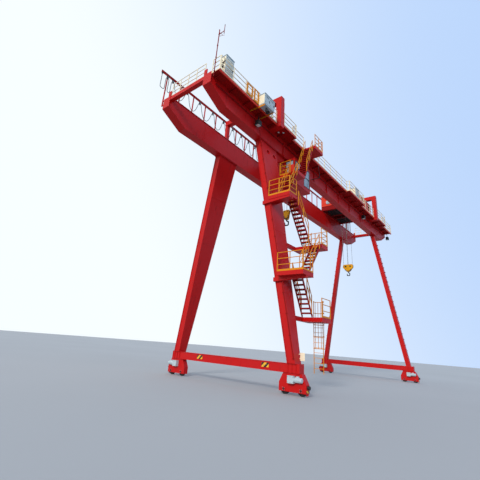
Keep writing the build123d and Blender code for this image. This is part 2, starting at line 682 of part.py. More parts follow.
def make_cab():
    """Operator's cab under the walkway side girder, hollow, with its windows cut."""
    y0 = -HALF - CAB_OUT
    y1 = y0 + CAB_WIDE
    z0, z1 = CAB_FLOOR, CAB_TOP
    x0, x1, w = *CAB_X, CAB_WALL
    shell = box(x0, x1, y0, y1, z0, z1) - box(x0 + w, x1 - w, y0 + w, y1 - w, z0 + w, z1 - w)
    glass = []
    for across, a, b, c, d, low, high in cab_panes(x0, x1, y0, y1, z0, z1):
        shell = shell - box(a, b, c, d, low, high)
        half = GLASS_T / 2
        if across == "x":
            glass.append(box((a + b) / 2 - half, (a + b) / 2 + half, c, d, low, high))
        else:
            glass.append(box(a, b, (c + d) / 2 - half, (c + d) / 2 + half, low, high))
    hangers = [box(x - w, x + w, -HALF - 5 * w, -HALF + 5 * w, z1, BOT) for x in (x0 + 4 * w, x1 - 4 * w)]
    keep("cab_shell", fuse([one(shell)] + hangers))
    keep("cab_glass", *glass)


def make_fittings():
    """Cabinets, mast and floodlights along the walkway, rungs on the far legs."""
    low = DECK_Z - DECK_T
    keep("cabinets", box(-5750, -5000, -OUTER - 440, -OUTER, DECK_Z, DECK_Z + 1850),
         box(-2500, -1330, DECK_EDGE - 500, DECK_EDGE, low, DECK_Z + 820),
         box(15300, 16300, DECK_EDGE + 60, -OUTER - 150, DECK_Z, DECK_Z + 1500))
    x, y, top = NEAR_END - 30, -OUTER - 250, DECK_Z + 3470
    keep("mast", fuse([disc("z", x, y, (DECK_Z - 400 + top) / 2, 30, top - DECK_Z + 400),
                       box(x - 15, x + 15, y - 440, y, top - 420, top - 380),
                       disc("z", x, y - 450, top - 250, 20, 800)]))
    lamps = []
    y = -WEB_OUT - 260
    for x, down in ((-1800, 620), (18500, 500), (27150, 500)):
        top = low - down
        stem = box(x - 20, x + 20, y - 20, y + 20, top, low)
        lamps.append(fuse([stem, box(x - 170, x + 170, y - 170, y + 150, top - 320, top)]))
    keep("floodlights", *lamps)


def make_rungs(far_legs):
    """Climbing rungs on the outer faces of the far legs."""
    rungs = []
    for s, shape in zip((-1, 1), far_legs):
        for i in range(22):
            z = 2 * SILL_TOP + i * 550
            y = s * (leg_y(z) + FAR_LEG_W / 2 + 10)
            rung = box(LEG_SPACING - 150, LEG_SPACING + 150, y - s * 60, y + s * 90, z - 15, z + 15)
            rungs.append(one(rung - shape))
    keep("leg_rungs", *rungs)


def falls(t):
    """Y of the four rope falls: outer and inner side of each of the two sheaves."""
    inner = t["rope"] + 6
    centre = inner + t["rope"] + FIT + t["sheave"]
    outer = centre + t["sheave"] + t["rope"] + FIT
    return inner, centre, outer


def trolley_levels(t):
    """Underside, deck top and drum centre of a trolley."""
    z0 = RAIL_TOP + 60
    deck = z0 + t["beam"] + 30
    return z0, deck, deck + t["sheave"] + 120


def trolley_frame(t):
    """Trucks over the rails, cross beams and a deck with the rope slot."""
    z0, deck, _ = trolley_levels(t)
    x0, x1, w = t["x"] - t["back"], t["x"] + t["front"], t["truck"]
    top = z0 + t["beam"]
    parts = [box(x0, x1, s * RAIL_Y - w / 2, s * RAIL_Y + w / 2, z0, top) for s in (-1, 1)]
    parts += [box(x, x + w, -RAIL_Y, RAIL_Y, z0, top) for x in (x0, x1 - w)]
    mid = t["sheave"] + w
    parts += [box(x - w / 4, x + w / 4, -RAIL_Y, RAIL_Y, z0, top) for x in (t["x"] - mid, t["x"] + mid)]
    parts.append(box(x0, x1, -RAIL_Y, RAIL_Y, top, deck))
    slot = falls(t)[2] + 4 * t["rope"]
    frame = fuse(parts) - box(t["x"] - t["sheave"], t["x"] + t["sheave"], -slot, slot, top - 50, deck + 50)
    for s in (-1, 1):
        for x in (x0 + t["wheel_r"] * 1.6, x1 - t["wheel_r"] * 1.6):
            frame = frame - wheel_space(t, x, s * RAIL_Y, z0)
    return one(frame)


def wheel_space(t, x, y, z0):
    """What a trolley wheel and its axle take out of the truck."""
    r, half = t["wheel_r"] * 1.1, t["wheel_w"] / 2 + 25
    well = box(x - r, x + r, y - half, y + half, z0 - 50, RAIL_TOP + 2 * r)
    return well + disc("y", x, y, RAIL_TOP + t["wheel_r"], 35 + FIT, 2 * t["truck"])


def trolley_wheels(t):
    """Four wheels with their axles."""
    x0, x1, r = t["x"] - t["back"], t["x"] + t["front"], t["wheel_r"]
    return [wheel("y", x, s * RAIL_Y, r, t["wheel_w"], 35, t["truck"] + 20, RAIL_TOP + r)
            for s in (-1, 1) for x in (x0 + 1.6 * r, x1 - 1.6 * r)]


def drum(t, y, z):
    """Rope drum: grooved barrel turned with its end flanges and shaft."""
    r, half, shaft = t["sheave"], t["drum"] / 2, t["sheave"] * 0.3
    flange = t["rope"] * 1.6
    profile = [(-half - 160, 0), (-half - 160, shaft), (-half, shaft), (-half, r + flange),
               (-half + 40, r + flange), (-half + 40, r), (half - 40, r), (half - 40, r + flange),
               (half, r + flange), (half, shaft), (half + 160, shaft), (half + 160, 0)]
    face = make_face(Polyline(*[(x, 0, h) for x, h in profile], close=True))
    return Pos(t["x"], y, z) * revolve(face, Axis.X)


def hoist_machinery(t):
    """Twin drums side by side between two pedestals, gearbox and motor."""
    _, deck, zd = trolley_levels(t)
    centre, r = falls(t)[1], t["sheave"]
    half, wide = t["drum"] / 2, centre + t["sheave"]
    parts = [drum(t, s * centre, zd) for s in (-1, 1)]
    for s in (-1, 1):
        x = t["x"] + s * (half + 100)
        stand = [(-wide, deck), (wide, deck), (wide, zd), (wide - r / 2, zd + r * 0.6),
                 (-wide + r / 2, zd + r * 0.6), (-wide, zd)]
        parts.append(plate_yz(stand, x - 60, x + 60))
    x = t["x"] - half - 160
    case = box(x - r * 1.5, x, -wide * 0.9, wide * 0.9, deck, zd + r * 0.9)
    parts.append(fillet(case.edges().filter_by(Axis.X).group_by(Axis.Z)[-1], r * 0.4))
    y = wide + r * 1.2
    parts.append(box(x - r * 1.5, x, wide * 0.8, y, deck, zd))
    parts.append(disc("x", x + half * 0.6, y - r * 0.4, zd - r * 0.3, r * 0.5, half * 1.4))
    parts.append(box(x + half * 0.3, x + half * 0.9, y - r * 0.8, y, deck, zd - r * 0.5))
    return fuse(parts)


def machinery_house(t):
    """Sheet house over the main trolley's machinery, open below."""
    _, deck, _ = trolley_levels(t)
    x0, x1, w = t["x"] - t["back"], t["x"] + t["front"], HOUSE_T
    y1, top = RAIL_Y + t["truck"] / 2, RAIL_TOP + HOUSE_TOP
    y0 = -y1 - HOUSE_OUT
    shell = box(x0, x1, y0, y1, deck, top) - box(x0 + w, x1 - w, y0 + w, y1 - w, deck - w, top - w)
    shell = shell + box(x0 - w, x1 + w, y0 - w, y1 + w, top - w, top)
    return one(shell - box(x1 - 3 * w - 800, x1 - 3 * w, y0 - 2 * w, y0 + w, deck + 2 * w, top - 3 * w))


def hook_block(t, pin):
    """Two cheek plates round two sheaves, tapering down to the crosshead."""
    centre = falls(t)[1]
    r, rope, drop = t["sheave"], t["rope"], t["drop"]
    wide, foot, thick = centre + r + 5 * rope, t["hook"] * 0.55, t["hook"] * 0.8
    cheek = [(-wide, pin + r * 0.5), (-wide + r * 0.4, pin + r), (wide - r * 0.4, pin + r),
             (wide, pin + r * 0.5), (wide, pin - r * 0.6), (foot, pin - drop), (-foot, pin - drop),
             (-wide, pin - r * 0.6)]
    x, t0 = t["x"], rope * 1.4
    parts = [plate_yz(cheek, x + s * thick / 2 - t0 / 2, x + s * thick / 2 + t0 / 2) for s in (-1, 1)]
    for s in (-1, 1):
        parts.append(disc("x", x, s * centre, pin, r * 0.2, thick + 4 * rope))
        rim = disc("x", x, s * centre, pin, r + rope, rope * 3.4)
        groove = Pos(x, s * centre, pin) * Rot(0, 90, 0) * Torus(r + rope + FIT, rope + FIT)
        parts.append(one(rim - groove))
    parts.append(box(x - thick / 2, x + thick / 2, -foot, foot, pin - drop, pin - drop + foot))
    block = fuse(parts)
    return one(block - disc("z", x, 0, pin - drop, t["hook"] * 0.22 + FIT, 3 * foot))


def hook(t, pin):
    """Forged hook: nut and shank through the crosshead, curved body, tapered point."""
    h, x = t["hook"], t["x"]
    shank, bowl = h * 0.22, h * 0.72
    seat = pin - t["drop"] + h * 0.55
    zc = pin - t["drop"] - bowl * 1.9
    nut = disc("z", x, 0, seat + FIT + shank * 0.75, shank * 1.5, shank * 1.5)
    route = [(0, seat + shank), (0, zc + bowl), (-bowl, zc + bowl), (-bowl, zc - bowl),
             (bowl, zc - bowl), (bowl, zc)]
    path = FilletPolyline(*[(x, y, z) for y, z in route], radius=bowl * 0.48)
    body = sweep(Plane(origin=path @ 0, z_dir=path % 0) * Circle(shank), path=path)
    point = Plane(origin=path @ 1, z_dir=path % 1) * Cone(shank, shank * 0.35, bowl * 0.6,
                                                         align=(Align.CENTER, Align.CENTER, Align.MIN))
    return fuse([nut, one(body), point])


def ropes(t, pin):
    """Four straight falls from the drums to the block's sheaves."""
    inner, _, outer = falls(t)
    top = trolley_levels(t)[2]
    mid, length = (pin + top) / 2, top - pin
    return [disc("z", t["x"], y, mid, t["rope"], length) for y in (-outer, -inner, inner, outer)]


def make_trolley(t, pin):
    """All nodes of one trolley, its hook block and its hook."""
    name = t["name"]
    keep(name + "_trolley_frame", trolley_frame(t))
    keep(name + "_trolley_wheels", *trolley_wheels(t))
    keep(name + "_hoist_machinery", hoist_machinery(t))
    keep(name + "_ropes", *ropes(t, pin))
    keep(name + "_hook_block", hook_block(t, pin))
    keep(name + "_hook", hook(t, pin))


make_gantry()
make_running_gear()
make_walkway()
make_brackets()
make_walkway_railings()
make_festoon()
make_stairs(nodes["near_legs"][0])
make_ladder()
make_cab()
make_fittings()
make_rungs(nodes["far_legs"])
make_trolley(MAIN, MAIN_PIN)
make_trolley(AUX, AUX_PIN)
keep("main_trolley_house", machinery_house(MAIN))

# the bounding box: festoon beam, walkway, widest landing and the left buffers
X_MID = (FESTOON_START + DECK_END) / 2
Y_MID = (LANDINGS[2][2] + BASE_SPREAD / 2 + BOGIE_L / 2 + BUFFER_L) / 2
SHIFT = Pos(-X_MID, -Y_MID, 0)

os.makedirs("parts", exist_ok=True)
for node, solids in nodes.items():
    moved = [SHIFT * s for s in solids]
    shape = moved[0] if len(moved) == 1 else Compound(children=moved)
    export_step(shape, "parts/" + node + ".step")
print(len(nodes), "nodes, moved by", X_MID, Y_MID)
for t, pin in ((MAIN, MAIN_PIN), (AUX, AUX_PIN)):
    print(t["name"], "drum centre", trolley_levels(t)[2], "hook pin", pin)
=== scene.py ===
"""Double girder gantry crane: finishes, cords and fine fittings over the CAD frame.

Places are in metres in the crane's own axes: X runs along the girders from the
middle of the near legs, Y = 0 is midway between the girders, Z = 0 is the top
of the gantry rails.  at() turns such a place into the frame's axes.
"""

from collections import namedtuple
from itertools import product
from math import cos, pi, radians, sin

import bmesh
import bpy
from mathutils import Euler, Matrix, Vector


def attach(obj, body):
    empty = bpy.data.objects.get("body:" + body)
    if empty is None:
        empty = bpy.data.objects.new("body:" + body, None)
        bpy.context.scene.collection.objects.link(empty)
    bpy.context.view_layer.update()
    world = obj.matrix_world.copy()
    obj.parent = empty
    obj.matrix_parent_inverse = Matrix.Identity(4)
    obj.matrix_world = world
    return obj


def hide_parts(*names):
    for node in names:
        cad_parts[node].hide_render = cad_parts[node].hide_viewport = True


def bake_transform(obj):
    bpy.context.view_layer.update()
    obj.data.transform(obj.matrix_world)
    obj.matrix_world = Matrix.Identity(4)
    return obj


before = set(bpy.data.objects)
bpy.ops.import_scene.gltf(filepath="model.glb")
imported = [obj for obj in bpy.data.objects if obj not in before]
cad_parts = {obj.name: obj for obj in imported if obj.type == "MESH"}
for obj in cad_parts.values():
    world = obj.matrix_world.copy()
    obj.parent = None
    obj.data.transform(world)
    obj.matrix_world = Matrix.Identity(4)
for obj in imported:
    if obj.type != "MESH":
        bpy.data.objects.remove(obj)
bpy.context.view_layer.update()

# driving dimensions, as in the CAD source
MIDDLE = Vector((10.215, -0.0775, 0))
HALF = 1.94                 # girder centre from the crane's middle
FLANGE_HALF = 0.34
WEB_HALF = 0.3
OUTER = HALF + FLANGE_HALF
WEB_OUT = HALF + WEB_HALF
GIRDER_TOP = 17.5
GIRDER_DEEP = 1.68
GIRDER_LOW = GIRDER_TOP - GIRDER_DEEP
GIRDER_ENDS = (-6.42, 26.94)
RAIL_Y = 1.7
SADDLES = (0.0, 20.95)
DECK_Z = 17.28
DECK_LOW = DECK_Z - 0.05
DECK_EDGE = -(OUTER + 0.7)
DECK_END = 27.38
WIDE_EDGE = -3.305
WIDE_RUNS = ((-0.225, 2.025), (12.7, 16.65), (20.725, 23.975))
LEG_SPACING = 22.9
LEGS_X = (0, LEG_SPACING)
LEG_TOP = GIRDER_LOW - 0.06
LEG_TOP_X = 1.9
LEG_FOOT_X = 0.56
LEG_HALF_Y = 0.25
FAR_LEG_HALF = 0.21
BASE_HALF = 4.475
SILL_Z = (1.01, 1.46)

SIDES = (-1, 1)
UP, DOWN = (0, 0, 1), (0, 0, -1)


def at(x, y, z):
    """Place in the crane's axes, as a point in the frame."""
    return Vector((x, y, z)) - MIDDLE


def leg_y(z):
    """Distance of a leg's centre from the crane's middle at height z."""
    return HALF + (BASE_HALF - HALF) * (LEG_TOP - z) / (LEG_TOP - SILL_Z[1])


def leg_x(z):
    """Half width of a near leg along X at height z."""
    return (LEG_TOP_X + (LEG_FOOT_X - LEG_TOP_X) * (LEG_TOP - z) / (LEG_TOP - SILL_Z[1])) / 2


def spread(first, last, count):
    """Evenly spaced values from first to last."""
    return [first + (last - first) * i / (count - 1) for i in range(count)]


def angles(count, first=0.0):
    """Evenly spaced angles of one full turn."""
    return [first + 2 * pi * i / count for i in range(count)]


def into_scene(name, data):
    """New object for some data, linked into the scene."""
    obj = bpy.data.objects.new(name, data)
    bpy.context.scene.collection.objects.link(obj)
    return obj


# camera
def make_camera():
    """Camera at the photograph's viewpoint, low beside the near legs."""
    data = bpy.data.cameras.new("camera")
    data.sensor_width = 36.0
    data.lens = 24.62
    data.shift_x = 0.0008
    data.shift_y = -0.0564
    data.clip_end = 400.0
    camera = into_scene("camera", data)
    camera.location = (-26.765, -13.9925, 2.12)
    camera.rotation_euler = Euler((1.9553, -0.0737, -0.8928), "XYZ")
    bpy.context.scene.camera = camera


# materials
def linear(hex_colour):
    """sRGB hex to linear RGBA."""
    parts = [int(hex_colour[i:i + 2], 16) / 255 for i in (1, 3, 5)]
    return tuple(c / 12.92 if c < 0.04045 else ((c + 0.055) / 1.055) ** 2.4 for c in parts) + (1.0,)


def feed(tree, node, feeds):
    """Links each input that is given a node or a socket, and sets any other value on the input itself."""
    for key, value in feeds.items():
        if isinstance(value, bpy.types.Node):
            value = next(socket for socket in value.outputs if socket.enabled)
        if isinstance(value, bpy.types.NodeSocket):
            tree.links.new(value, node.inputs[key])
        else:
            is_colour = isinstance(value, str) and value.startswith("#")
            node.inputs[key].default_value = linear(value) if is_colour else value


def put(tree, kind, feeds=None, **settings):
    """Adds a node with its settings, its values and the links that feed it."""
    node = tree.nodes.new(kind)
    for key, value in settings.items():
        setattr(node, key, value)
    feed(tree, node, feeds or {})
    return node


def blank(name):
    """New node material: its tree, its shader and its object coordinates."""
    material = bpy.data.materials.new(name)
    material.use_nodes = True
    tree = material.node_tree
    place = put(tree, "ShaderNodeTexCoord").outputs["Object"]
    return material, tree, tree.nodes["Principled BSDF"], place


def patches(tree, place, scale, low, high, stretch=(1, 1, 1), detail=4.0):
    """Noise mask between two thresholds, one unit of scale per metre."""
    at_scale = put(tree, "ShaderNodeMapping", {"Vector": place, "Scale": stretch})
    noise = put(tree, "ShaderNodeTexNoise", {"Vector": at_scale, "Scale": scale, "Detail": detail})
    return put(tree, "ShaderNodeMapRange", {"Value": noise, "From Min": low, "From Max": high})


CHIPPED = "#54342A"


def enamel(name, body, shade, dirt, rough=0.38, streaks=0.6, sheen=0.16):
    """Sprayed enamel on steel plate: cloudy fade, rain streaks, chips at random, faint orange peel.

    The fade is in patches of 2 m, the streaks are 200 mm apart and eight times as long,
    and the orange peel of 1 mm is drawn at 17 mm so that it shows.
    """
    material, tree, shader, place = blank(name)
    fade = patches(tree, place, 0.45, 0.35, 0.75)
    run = patches(tree, place, 5.0, 0.6, 0.8, stretch=(1, 1, 0.12))
    thin = put(tree, "ShaderNodeMath", {0: run, 1: streaks}, operation="MULTIPLY")
    chips = patches(tree, place, 22.0, 0.73, 0.76, detail=6.0)
    colour = body
    for mask, over in ((fade, shade), (thin, dirt), (chips, CHIPPED)):
        colour = put(tree, "ShaderNodeMix", {0: mask, 6: colour, 7: over}, data_type="RGBA")
    gloss = put(tree, "ShaderNodeMapRange", {"Value": run, "To Min": rough, "To Max": rough + 0.25})
    peel = put(tree, "ShaderNodeTexNoise", {"Vector": place, "Scale": 60.0, "Detail": 2.0})
    dents = put(tree, "ShaderNodeTexNoise", {"Vector": place, "Scale": 1.6, "Detail": 1.0})
    relief = put(tree, "ShaderNodeMath", {0: dents, 1: 6.0, 2: peel}, operation="MULTIPLY_ADD")
    bump = put(tree, "ShaderNodeBump", {"Height": relief, "Strength": 0.12, "Distance": 0.004})
    feed(tree, shader, {"Base Color": colour, "Roughness": gloss, "Normal": bump,
                        "Specular IOR Level": sheen})
    return material


def bare_metal(name, light, dark, rough=0.4, metallic=0.9, sheen=0.5):
    """Bare or cast metal: mottled tone, uneven gloss, 20 mm dimples drawn coarse so that they show."""
    material, tree, shader, place = blank(name)
    mottle = patches(tree, place, 6.0, 0.3, 0.7, stretch=(8, 8, 8))
    tone = put(tree, "ShaderNodeMix", {0: mottle, 6: light, 7: dark}, data_type="RGBA")
    gloss = put(tree, "ShaderNodeMapRange", {"Value": mottle, "To Min": rough, "To Max": rough + 0.2})
    bump = put(tree, "ShaderNodeBump", {"Height": mottle, "Strength": 0.25, "Distance": 0.003})
    feed(tree, shader, {"Base Color": tone, "Roughness": gloss, "Normal": bump, "Metallic": metallic,
                        "Specular IOR Level": sheen})
    return material


def tread_plate(name, body, dirt):
    """Enamelled tread plate: raised lozenges 70 mm apart, coarser than the real 30 mm so that they show."""
    material, tree, shader, place = blank(name)
    aslant = put(tree, "ShaderNodeMapping",
                 {"Vector": place, "Rotation": (0, 0, radians(45)), "Scale": (14, 14, 0.01)})
    weave = put(tree, "ShaderNodeTexChecker", {"Vector": aslant, "Scale": 1.0})
    worn = patches(tree, place, 1.4, 0.45, 0.75)
    tone = put(tree, "ShaderNodeMix", {0: worn, 6: body, 7: dirt}, data_type="RGBA")
    bump = put(tree, "ShaderNodeBump", {"Height": weave.outputs[1], "Strength": 0.5, "Distance": 0.004})
    feed(tree, shader, {"Base Color": tone, "Roughness": 0.5, "Normal": bump, "Specular IOR Level": 0.08})
    return material


def hazard_stripes(name):
    """Warning paint: black and yellow bands 120 mm wide at 45 degrees, scuffed to the primer."""
    material, tree, shader, place = blank(name)
    band = 0.17  # along an edge of the plate
    split = put(tree, "ShaderNodeSeparateXYZ", {0: place})
    slant = put(tree, "ShaderNodeMath", {0: split.outputs[1], 1: split.outputs[2]}, operation="ADD")
    lean = put(tree, "ShaderNodeMath", {0: slant, 1: split}, operation="ADD")
    pair = put(tree, "ShaderNodeMath", {0: lean, 1: 2 * band}, operation="FLOORED_MODULO")
    black = put(tree, "ShaderNodeMath", {0: pair, 1: band}, operation="GREATER_THAN")
    paint = put(tree, "ShaderNodeMix", {0: black, 6: "#E2A81C", 7: "#1B1A19"}, data_type="RGBA")
    scuffs = patches(tree, place, 9.0, 0.58, 0.7)
    worn = put(tree, "ShaderNodeMix", {0: scuffs, 6: paint, 7: "#8A6A40"}, data_type="RGBA")
    feed(tree, shader, {"Base Color": worn, "Roughness": 0.45})
    return material


def wire_rope(name):
    """Greased steel rope: strands laid at a slant, drawn 40 mm apart so that they show."""
    material, tree, shader, place = blank(name)
    wave = put(tree, "ShaderNodeTexWave", {"Vector": place, "Scale": 7.0, "Distortion": 0.4},
               bands_direction="DIAGONAL")
    tone = put(tree, "ShaderNodeMix", {0: wave.outputs[1], 6: "#3B3A38", 7: "#8E8D88"}, data_type="RGBA")
    bump = put(tree, "ShaderNodeBump", {"Height": wave.outputs[1], "Strength": 0.6, "Distance": 0.004})
    feed(tree, shader, {"Base Color": tone, "Normal": bump, "Metallic": 0.7, "Roughness": 0.42})
    return material


def rubber(name, body, dusty="#4A4845"):
    """Moulded rubber: matt black with a bloom of dust in patches of 300 mm."""
    material, tree, shader, place = blank(name)
    dust = patches(tree, place, 3.0, 0.45, 0.8)
    tone = put(tree, "ShaderNodeMix", {0: dust, 6: body, 7: dusty}, data_type="RGBA")
    gloss = put(tree, "ShaderNodeMapRange", {"Value": dust, "To Min": 0.5, "To Max": 0.8})
    feed(tree, shader, {"Base Color": tone, "Roughness": gloss})
    return material


def tinted_glass(name, clear, filmed, see_through):
    """Float glass, nearly mirror smooth, with a film of dust that dulls it in patches of 500 mm."""
    material, tree, shader, place = blank(name)
    film = patches(tree, place, 2.2, 0.4, 0.8)
    tone = put(tree, "ShaderNodeMix", {0: film, 6: clear, 7: filmed}, data_type="RGBA")
    gloss = put(tree, "ShaderNodeMapRange", {"Value": film, "To Min": 0.03, "To Max": 0.22})
    feed(tree, shader, {"Base Color": tone, "Roughness": gloss, "IOR": 1.5,
                        "Transmission Weight": see_through})
    return material


RED = enamel("gloss_red_enamel", "#B5100F", "#B31718", "#6A1512")
# a lighter copy of the gloss red: painted sunlight, the salmon that sunlit red faces take
SUNLIT_RED = enamel("faded_red_enamel", "#C8301E", "#CC3B28", "#7A2418", rough=0.45, streaks=0.4)
# a darker copy of the gloss red: painted shade, for parts under the walkway, the girders and the trolley, for
# the stair flights and for the mast
PAINTED_SHADE_RED = enamel("shaded_red_enamel", "#7E0B0C", "#8A1012", "#3C0C0A", rough=0.5, sheen=0.1)
RED_DECK = tread_plate("red_tread_plate", "#9A0E0F", "#7C1A15")
CREAM = enamel("cream_handrail_enamel", "#E6DABC", "#D9CBA8", "#8A6A48", rough=0.42)
OCHRE = enamel("ochre_stair_enamel", "#D08412", "#C4780E", "#7A3C14", rough=0.42)
YELLOW = enamel("yellow_hook_block_enamel", "#E2A010", "#D8920E", "#5A4418", rough=0.36, streaks=0.5)
GREY = enamel("grey_powder_coat", "#AEBBC0", "#A2AFB3", "#6F7474", rough=0.5, streaks=0.4, sheen=0.3)
IVORY = enamel("ivory_cabinet_enamel", "#EFE6CC", "#E2D6B6", "#9A8460", rough=0.45, streaks=0.4)
CAST = bare_metal("dark_cast_iron", "#2A2A2B", "#1C1B1B", rough=0.5, metallic=0.4)
FORGED = bare_metal("black_forged_steel", "#101012", "#090909", rough=0.5, metallic=0.0, sheen=0.15)
RAIL_STEEL = bare_metal("rolled_rail_steel", "#8A827A", "#5E4A3E", rough=0.35)
ZINC = bare_metal("galvanised_steel", "#A8ADB0", "#868C90", rough=0.42, metallic=0.8)
ROPE = wire_rope("greased_wire_rope")
SHEATH = rubber("black_rubber_sheath", "#141414")
GASKET = rubber("black_window_gasket", "#0E0E0F", "#2C2B2A")
GLASS = tinted_glass("grey_tinted_glass", "#A3B4BE", "#BFCACF", 0.3)
LENS = tinted_glass("clear_lamp_glass", "#E6E8E4", "#C8CAC4", 0.2)
STRIPES = hazard_stripes("hazard_paint")

# the CAD nodes in each finish
FINISHES = {
    RED: ("girders", "end_ties", "saddles", "near_legs", "far_legs", "sill_beams", "bogies", "rail_stops",
          "festoon_beam", "festoon_posts", "landings", "cab_shell", "leg_rungs", "aux_trolley_frame"),
    # the machinery house in the painted sunlit red
    SUNLIT_RED: ("main_trolley_house",),
    RED_DECK: ("walkway",),
    # painted shade: the darker copy of the red on parts that sit in shade
    PAINTED_SHADE_RED: ("walkway_brackets", "main_trolley_frame", "stair_flight_top", "stair_flights_low", "mast"),
    CREAM: ("walkway_railings", "end_railings"),
    OCHRE: ("stair_railings", "ladder"),
    YELLOW: ("main_hook_block", "aux_hook_block"),
    GREY: ("cabinets", "gantry_drives"),
    CAST: ("gantry_wheels", "floodlights", "festoon_carriers", "main_trolley_wheels", "aux_trolley_wheels",
           "main_hoist_machinery", "aux_hoist_machinery"),
    FORGED: ("main_hook", "aux_hook"),
    RAIL_STEEL: ("trolley_rails",),
    SHEATH: ("buffers",),
    ROPE: ("main_ropes", "aux_ropes"),
    GLASS: ("cab_glass",),
}


def paint_nodes():
    """Gives each CAD node its finish."""
    for material, names in FINISHES.items():
        for name in names:
            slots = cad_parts[name].data.materials
            slots.clear()
            slots.append(material)


# festoon cords, by the route points of the CAD source
FESTOON_Y = OUTER + 0.17
FESTOON_Z = GIRDER_TOP + 2.23
CABLE_R = 0.022
CABLE_TOP = FESTOON_Z - 0.09 - 0.12 + 0.042 + CABLE_R + 0.012
CABLE_PLUMB = 0.15
HUMP = 0.125
NEAR_CARRIERS = (-6.37, -5.87, -4.44, -3.1, -1.6, -0.26, 0.96, 2.15, 3.22, 4.25)
NEAR_BOXES = (-6.87, 5.25)
FAR_CARRIERS = (24.25, 25.29, 25.79, 26.29, 26.79)
FAR_BOXES = (22.9, 27.33)
# each cord's boxes, carriers, loop depth and real length
CORDS = {"near": (NEAR_BOXES, NEAR_CARRIERS, 1.15, 29.96), "far": (FAR_BOXES, FAR_CARRIERS, 1.3, 17.48)}


def loop(xa, xb, drop):
    """Corner points of one hanging loop, from one top point to the next."""
    span = xb - xa
    if span < 4 * HUMP:
        ways = ((0.012, 0.4), (0.004, 0.82), (0.024, 1.0))
        left = [(xa + dx, CABLE_TOP - drop * k) for dx, k in ways]
        return left + [(xb - dx, CABLE_TOP - drop * k) for dx, k in reversed(ways)]
    shares = (0.10, 0.26, 0.42, 0.58, 0.74, 0.90)
    return [(xa + span * u, CABLE_TOP - drop * (1 - abs(2 * u - 1) ** 2.6)) for u in shares]


def cable_route(boxes, carriers, drop):
    """Route from one terminal box over the carriers to the other."""
    points, x = [(boxes[0], CABLE_TOP), (boxes[0], CABLE_TOP - CABLE_PLUMB)], boxes[0]
    for c in carriers:
        points += loop(x, c - HUMP, drop) + [(c - HUMP, CABLE_TOP), (c + HUMP, CABLE_TOP)]
        x = c + HUMP
    points += loop(x, boxes[1], drop)
    points += [(boxes[1], CABLE_TOP - CABLE_PLUMB), (boxes[1], CABLE_TOP)]
    return [at(px, FESTOON_Y, pz) for px, pz in points]


def cord_curve(name, route, radius, material):
    """Curve piece of one open NURBS spline with the route's points as its control points."""
    data = bpy.data.curves.new(name, "CURVE")
    data.dimensions = "3D"
    data.bevel_depth = radius
    data.bevel_resolution = 3
    data.resolution_u = 6
    data.use_fill_caps = True
    spline = data.splines.new("NURBS")
    spline.points.add(len(route) - 1)
    for point, place in zip(spline.points, route):
        point.co = (*place, 1.0)
    spline.order_u = 3
    spline.use_endpoint_u = True
    data.materials.append(material)
    return into_scene(name, data)


def make_cords():
    """The two festoon cables, hanging in loops between their terminal boxes."""
    for end, (boxes, carriers, drop, length) in CORDS.items():
        route = cable_route(boxes, carriers, drop)
        cord = cord_curve("festoon_cord_" + end, route, CABLE_R, SHEATH)
        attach(cord, "gantry")
        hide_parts("festoon_cable_" + end)


# mesh helpers
def block(bm, lo, hi, soft=0.0):
    """Box between two corners in the crane's axes, its edges eased by soft."""
    a, b = at(*lo), at(*hi)
    new = bmesh.ops.create_cube(bm, size=1.0)["verts"]
    for v in new:
        v.co = Vector([a[i] if v.co[i] < 0 else b[i] for i in range(3)])
    if soft:
        edges = {e for v in new for e in v.link_edges}
        bmesh.ops.bevel(bm, geom=list(edges), offset=soft, segments=2, affect="EDGES", profile=0.5)


def plate(bm, centre, size, soft=0.0):
    """Box of a size about its centre."""
    block(bm, [c - s / 2 for c, s in zip(centre, size)], [c + s / 2 for c, s in zip(centre, size)], soft)


def strut(bm, foot, head, wide, deep):
    """Flat bar from one place to another: wide along X, deep across it."""
    a, b = at(*foot), at(*head)
    along = (b - a).normalized()
    across = Vector((1, 0, 0)) if abs(along.x) < 0.9 else Vector((0, 1, 0))
    side = (across - across.project(along)).normalized() * wide / 2
    up = along.cross(side).normalized() * deep / 2
    corners = ((-1, -1), (1, -1), (1, 1), (-1, 1))
    close_up(bm, [[bm.verts.new(p + i * side + j * up) for i, j in corners] for p in (a, b)])


def lathe(bm, foot, head, profile, steps=16, ring=False):
    """Shape turned about the line from foot to head: pairs of share of its length and radius.

    It is closed at both ends, or as a ring the last pair joins the first.
    """
    a, b = at(*foot), at(*head)
    turn = Matrix.Translation(a) @ (b - a).to_track_quat("Z", "Y").to_matrix().to_4x4()
    long = (b - a).length
    rings = [[bm.verts.new(turn @ Vector((r * cos(t), r * sin(t), share * long))) for t in angles(steps)]
             for share, r in profile]
    close_up(bm, rings, ring)


def close_up(bm, rings, ring=False):
    """Skins rows of points into a closed shape."""
    steps = len(rings[0])
    for low, high in zip(rings, rings[1:] + rings[:1] if ring else rings[1:]):
        for i in range(steps):
            j = (i + 1) % steps
            bm.faces.new((low[i], low[j], high[j], high[i]))
    if not ring:
        bm.faces.new(rings[0][::-1])
        bm.faces.new(rings[-1])


def rod(bm, foot, head, radius, steps=10):
    """Round bar with eased ends."""
    eased = 0.8 * radius
    lathe(bm, foot, head, ((0, eased), (0.03, radius), (0.97, radius), (1, eased)), steps)


def cover(bm, foot, head, radius, rim, shoulder=0.7, steps=20):
    """Round cover, full width up to its shoulder, from where it narrows to its rim."""
    lathe(bm, foot, head, ((0, radius), (shoulder, radius), (1, rim)), steps)


def collar(bm, place, half_height, inner, outer, shoulder, steps=12):
    """Upright ring about a place, full width between its shoulders."""
    x, y, z = place
    lathe(bm, (x, y, z - half_height), (x, y, z + half_height),
          ((0, inner), (shoulder, outer), (1 - shoulder, outer), (1, inner)), steps)


